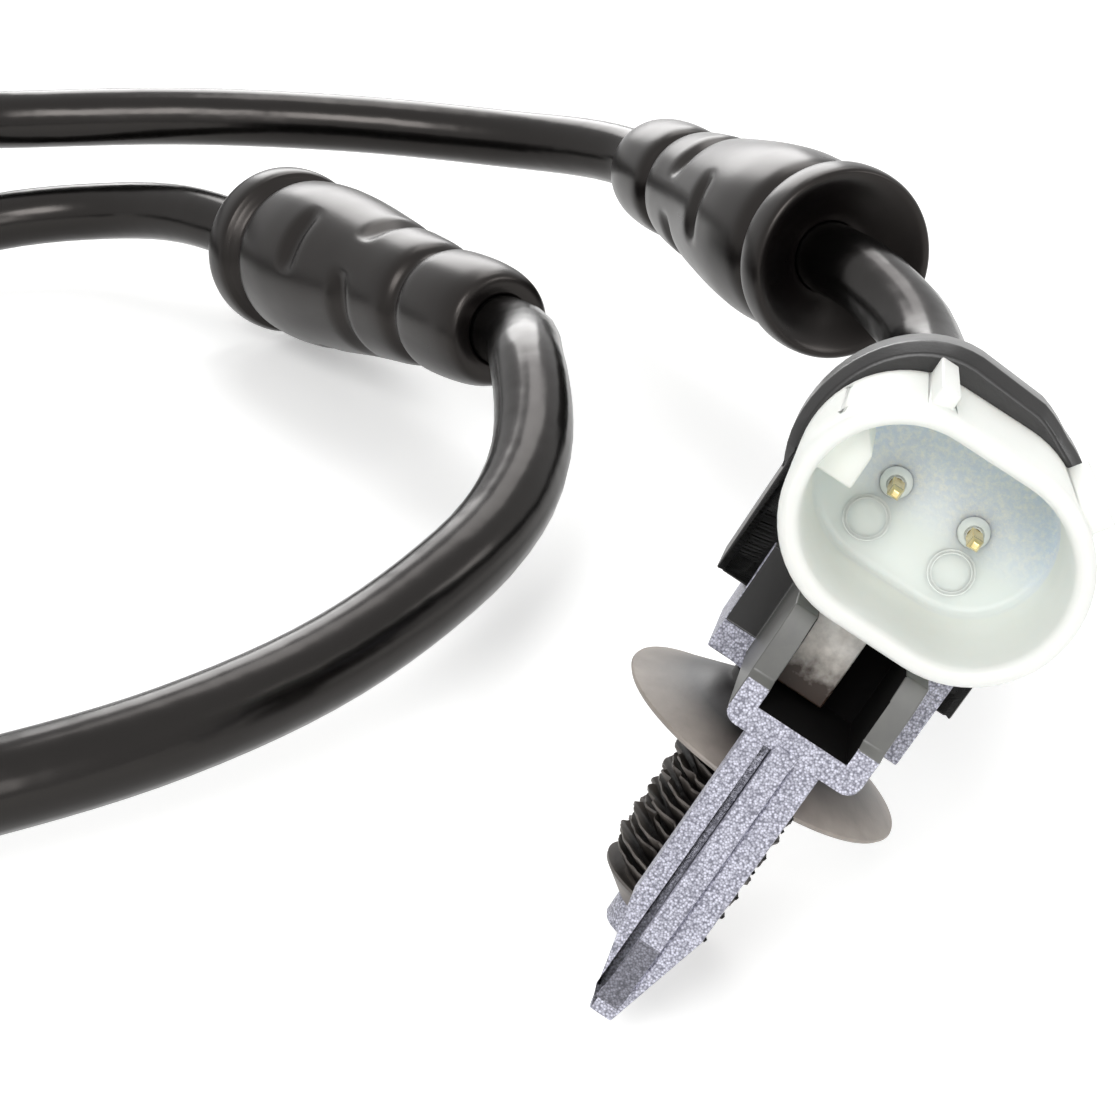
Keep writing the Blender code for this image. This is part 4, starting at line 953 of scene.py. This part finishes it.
moulded("push_in_stud", stud, connector, 0, "fir_tree_stud", [stud_nylon, graphite],
        choose=lambda centre, normal: int(centre.z < last - STUD_END_BLOCK))
bpy.data.objects["push_in_stud"].data.set_sharp_from_angle(angle=radians(35))

# Grommets: moulded in EPDM rubber with soft lobes and recesses that a bracket's fork grips. They were
# slid along the cable and sit tight on it.

# EPDM rubber: black with a soft sheen, unevenly bright in patches of about 4 mm
rubber, tree, shader, mm = new_material("black_rubber_moulded", Roughness=0.3, IOR=1.52)
shader.inputs["Specular IOR Level"].default_value = 0.34
shader.inputs["Specular Tint"].default_value = linear("#fff6f0")
cloud = add(tree, "ShaderNodeTexNoise", {"Vector": mm, "Scale": 0.25, "Detail": 6.0})
tone = add(
    tree, "ShaderNodeMix", {0: cloud.outputs[0], 6: linear("#070607"), 7: linear("#120f0e")},
    data_type="RGBA",
)
tree.links.new(tone.outputs[2], shader.inputs["Base Color"])
gloss = add(tree, "ShaderNodeMapRange", {0: cloud.outputs[0], "To Min": 0.24, "To Max": 0.36})
tree.links.new(gloss.outputs[0], shader.inputs["Roughness"])

GROMMET_PROFILE = [
    (2.85, 2.9), (3.6, 2.6), (5.0, 1.6), (6.3, 0.45), (6.9, 0.05), (7.25, 0.05), (7.5, 0.5), (7.6, 1.6),
    (7.5, 2.7), (7.1, 3.4), (6.55, 3.9), (6.6, 4.6), (7.05, 6.3), (7.2, 9.5), (7.05, 12.5), (6.75, 15.5),
    (6.35, 18.5), (5.95, 21.5), (5.65, 24.5), (5.4, 27.2), (5.1, 28.8), (4.7, 29.5), (4.7, 30.3), (5.0, 31),
    (5.15, 32.5), (5.1, 35.5), (4.8, 37.8), (4.2, GROMMET_LENGTH), (2.85, GROMMET_LENGTH),
]
# Soft recesses between the lobes: height, count, first angle, half length in degrees, half width, depth
RECESSES = ((4.0, 1, 0, 400, 1.0, 0.5), (14.5, 3, 20, 26, 0.85, 0.7), (22.5, 3, 75, 46, 0.9, 0.8),
            (29.9, 1, 0, 400, 0.9, 0.35))


def rounded(profile, steps=4):
    """Profile with a smooth curve through its points."""
    out = []
    for i in range(len(profile) - 1):
        a, b, c, d = (Vector(profile[min(max(k, 0), len(profile) - 1)]) for k in (i - 1, i, i + 1, i + 2))
        for k in range(steps):
            u = k / steps
            out.append(0.5 * (2 * b + (c - a) * u + (2 * a - 5 * b + 4 * c - d) * u**2
                              + (3 * b - a - 3 * c + d) * u**3))
    return [tuple(p) for p in out] + [profile[-1]]


for name, face, axis in (
    ("grommet_a", GROMMET_A_FACE, GROMMET_A_AXIS),
    ("grommet_b", GROMMET_B_FACE, GROMMET_B_AXIS),
):
    place = along(face, axis)
    grommet = turned(rounded(GROMMET_PROFILE, 6), Matrix.Identity(4), 112)
    for vert in grommet.verts:
        radius, angle = vert.co.xy.length, degrees(atan2(vert.co.y, vert.co.x))
        if radius < 3.5 or vert.co.z < 3.2:
            continue
        dip = 0
        for height, count, first, reach, half_width, depth in RECESSES:
            across = exp(-((vert.co.z - height) / half_width) ** 2)
            for number in range(count):
                turn = (angle - first - number * 360 / count + 180) % 360 - 180
                dip += depth * across * max(0, 1 - (turn / reach) ** 4)
        vert.co.xy *= 1 - min(dip, radius - 3.6) / radius
    grommet.transform(place)
    moulded(name + "_moulded", grommet, table, 0, name, [rubber])

# Boot: the same rubber, moulded on the cable behind the shell with two soft ridges, so that the
# cable bends over a length and not at one edge.
BOOT_R = 4.1
boot = rounded(
    [
        (2.85, 0.05), (BOOT_R - 0.2, 0), (BOOT_R, 0.25), (BOOT_R, 1.2), (BOOT_R - 0.45, 1.65),
        (BOOT_R - 0.45, 2.15), (BOOT_R - 0.1, 2.6), (BOOT_R - 0.1, 3.3), (BOOT_R - 0.5, 3.8),
        (BOOT_R - 0.6, BOOT_LENGTH - 0.15), (BOOT_R - 0.8, BOOT_LENGTH), (2.85, BOOT_LENGTH),
    ]
)
moulded(
    "boot_moulded", turned(boot, along((MID_X, SHELL_END + GAP, 0), back), 80), connector, 0,
    "strain_relief", [rubber],
)

# Sensor head: a rounded block of heat-proof black nylon, moulded round the two cores, with a nose that
# the brake disc wears away, and a rubber collar where the cable goes in.
COLLAR_R = 3.9
collar = rounded(
    [
        (2.85, 0), (COLLAR_R - 0.6, 0), (COLLAR_R - 0.4, 0.3), (COLLAR_R - 0.2, 2), (COLLAR_R, 3.4),
        (COLLAR_R, COLLAR_LENGTH - GAP - 0.3), (COLLAR_R - 0.25, COLLAR_LENGTH - GAP),
        (2.85, COLLAR_LENGTH - GAP),
    ]
)
head_x, head_y, _ = HEAD_AT
moulded(
    "head_collar_moulded",
    turned(collar, along((head_x, head_y - COLLAR_LENGTH, HEAD_HEIGHT / 2), back), 72), table, 0,
    "head_collar", [rubber],
)
refined("sensor_head_body", 0.3, black_nylon)
for node in ("head_core_1", "head_core_2"):
    refined(node, 0.04, core_pvc)

# Wear loop: bare copper wire bent round inside the nose; the disc grinds it through when the pad is
# thin, which opens the circuit.
refined("wear_loop", 0.04, copper)

# Spring clip: stainless spring strip, blanked and bent over the head, with a leaf that presses
# in the pad's pocket. Rolled strip has fine lines, drawn 0.07 mm apart so that they show.
steel, tree, shader, mm = new_material("stainless_strip_rolled", Metallic=1.0, Roughness=0.3)
stretch = add(tree, "ShaderNodeVectorMath", {0: mm, 1: (14.0, 0.5, 14.0)}, operation="MULTIPLY")
lines = add(tree, "ShaderNodeTexNoise", {"Vector": stretch.outputs[0], "Scale": 1.0, "Detail": 3.0})
tone = add(
    tree, "ShaderNodeMix", {0: lines.outputs[0], 6: linear("#c4c4c6"), 7: linear("#a9a9ac")},
    data_type="RGBA",
)
tree.links.new(tone.outputs[2], shader.inputs["Base Color"])
gloss = add(tree, "ShaderNodeMapRange", {0: lines.outputs[0], "To Min": 0.2, "To Max": 0.42})
tree.links.new(gloss.outputs[0], shader.inputs["Roughness"])
refined("spring_clip", 0.12, steel)
